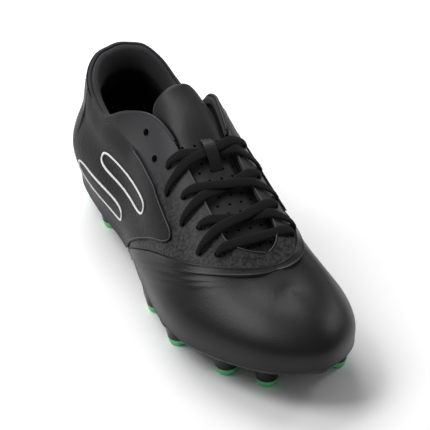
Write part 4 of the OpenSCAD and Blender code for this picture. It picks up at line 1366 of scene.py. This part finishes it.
for side, word in SIDES:
    # The throat's folded edge and the panel's edge are beads in the paler finish, a painted
    # highlight along each edge.
    edge = beside_rim(binding_ks, side, BEAD_IN, -0.15)
    settle(bead(f"throat_binding_highlight_{word}", edge, BINDING_R), EDGE_HIGHLIGHT_FINISH, [])
    roll = beside_rim(roll_ks, side, -ROLL_OUT, 1.0 - 0.2 * ease((roll_ks - 4.2) / 0.27))
    settle(bead(f"collar_roll_{word}", roll, COLLAR_ROLL_R, 12), TAB_FINISH, [])
    top, low = panel_edges(front_ks, side)[0], panel_edges(back_ks, side)[1]
    line = np.vstack([skin(front_ks, side * (top + PANEL_BEAD_IN), PANEL_FACE),
                      skin(back_ks, side * (low - PANEL_BEAD_IN), PANEL_FACE)])
    settle(bead(f"panel_edge_{word}", line, PANEL_EDGE_R), EDGE_HIGHLIGHT_FINISH, [])
    work = bmesh.new()
    stitch_row(work, beside_rim(throat_stitch_ks, side, STITCH_IN, 0.0))
    depth = np.where(collar_stitch_ks < HEEL_TAB_K, PANEL_FACE, -0.1)
    stitch_row(work, beside_rim(collar_stitch_ks, side, STITCH_IN, depth))
    mesh = bpy.data.meshes.new(f"stitches_{word}")
    work.to_mesh(mesh)
    work.free()
    stitches = add_piece(f"stitches_{word}", mesh, merge=0.0001)
    settle(stitches, THREAD_FINISH, [])

# %% [markdown]
# ## Side motif
# Two long rounded outlines in silver film decorate each side. They are pressed on, so the line is a
# flat strip a third of a millimetre high that follows the panel.

# %% Side motif
# Each outline: [station, height over the sole edge, half its length, half its height], in mm
MOTIF = [[3.95, 42, 33, 5.5], [3.3, 22, 34, 5.5]]
SIDE_STATION, MOTIF_LINE, MOTIF_T, MOTIF_RISE, MOTIF_SUNK = 43, 1.3, 0.35, 0.7, 0.3


def motif_net(shape, side, lift):
    """Grid over one outline, from its outer line to its inner line."""
    k0, h0, half, high = shape
    angle = np.linspace(0, 2 * np.pi, 181)[:, None]
    w = np.linspace(0, MOTIF_LINE, 4)[None, :]
    k = k0 - soft_power(np.cos(angle), 0.35) * (half - w) / SIDE_STATION
    h = h0 + soft_power(np.sin(angle), 0.8) * (high - w)
    return skin(k, side * v_at(k, h), -OVERLAY_T - MOTIF_RISE - lift)


for side, word in SIDES:
    for n, shape in enumerate(MOTIF):
        outline = net_piece(f"motif_{n}_{word}", motif_net(shape, side, MOTIF_T),
                            motif_net(shape, side, -MOTIF_SUNK), bevel=0.08)
        settle(outline, MOTIF_FINISH, [f"side_motif_{word}"])

# %% [markdown]
# ## Hidden stiffeners
# The board, counter, toe puff and eyelet stays keep their CAD shapes: nobody sees them in use, but
# they get the finish of the real material.

# %% Finishes of the carried-over nodes
HIDDEN = {"lasting_board": BOARD_FINISH, "heel_counter": STIFFENER_FINISH,
          "toe_puff": STIFFENER_FINISH, "eyelet_stay_lateral": STIFFENER_FINISH,
          "eyelet_stay_medial": STIFFENER_FINISH}
for name, finish in HIDDEN.items():
    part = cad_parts[name]
    part.data.materials.clear()
    part.data.materials.append(finish)
print("nodes with a real finish:", len(HIDDEN))

# %% [markdown]
# ## Floor and light
# A pale floor and soft square lamps, as in a product studio: one high on the left, one high behind
# and a small weak one on the right. An even white sky fills the shadows.

# %% Floor
FLOOR_HALF = 6
floor_corners = [(x * FLOOR_HALF, y * FLOOR_HALF, 0)
                 for x, y in ((-1, -1), (1, -1), (1, 1), (-1, 1))]
floor_mesh = bpy.data.meshes.new("studio_floor")
floor_mesh.from_pydata(floor_corners, [], [(0, 1, 2, 3)])
floor = bpy.data.objects.new("studio_floor", floor_mesh)
bpy.context.scene.collection.objects.link(floor)
floor_finish, _, floor_shader = new_finish("studio_paper", 0.9)
floor_shader.inputs["Base Color"].default_value = linear("#fafafa")
floor.data.materials.append(floor_finish)


# %% Lights
def lamp(name, place, size, power):
    """A square soft lamp that looks at the boot."""
    light = bpy.data.lights.new(name, "AREA")
    light.shape, light.size, light.energy = "SQUARE", size, power
    made = bpy.data.objects.new(name, light)
    made.location = place
    made.rotation_euler = (BOOT_MIDDLE - Vector(place)).to_track_quat("-Z", "Y").to_euler()
    bpy.context.scene.collection.objects.link(made)
    print(f"lamp {name}: {power} W")


lamp("high_left", (-0.85, 0.3, 1.25), 0.8, 13.5)
lamp("high_back", (0.0, 1.0, 1.2), 1.0, 17)
lamp("right", (1.15, 0.14, 0.8), 0.3, 2.5)
world = bpy.data.worlds.new("studio")
world.use_nodes = True
sky = world.node_tree.nodes["Background"]
sky.inputs["Color"].default_value, sky.inputs["Strength"].default_value = (1, 1, 1, 1), 0.25
bpy.context.scene.world = world
bpy.context.scene.view_settings.view_transform = "Standard"
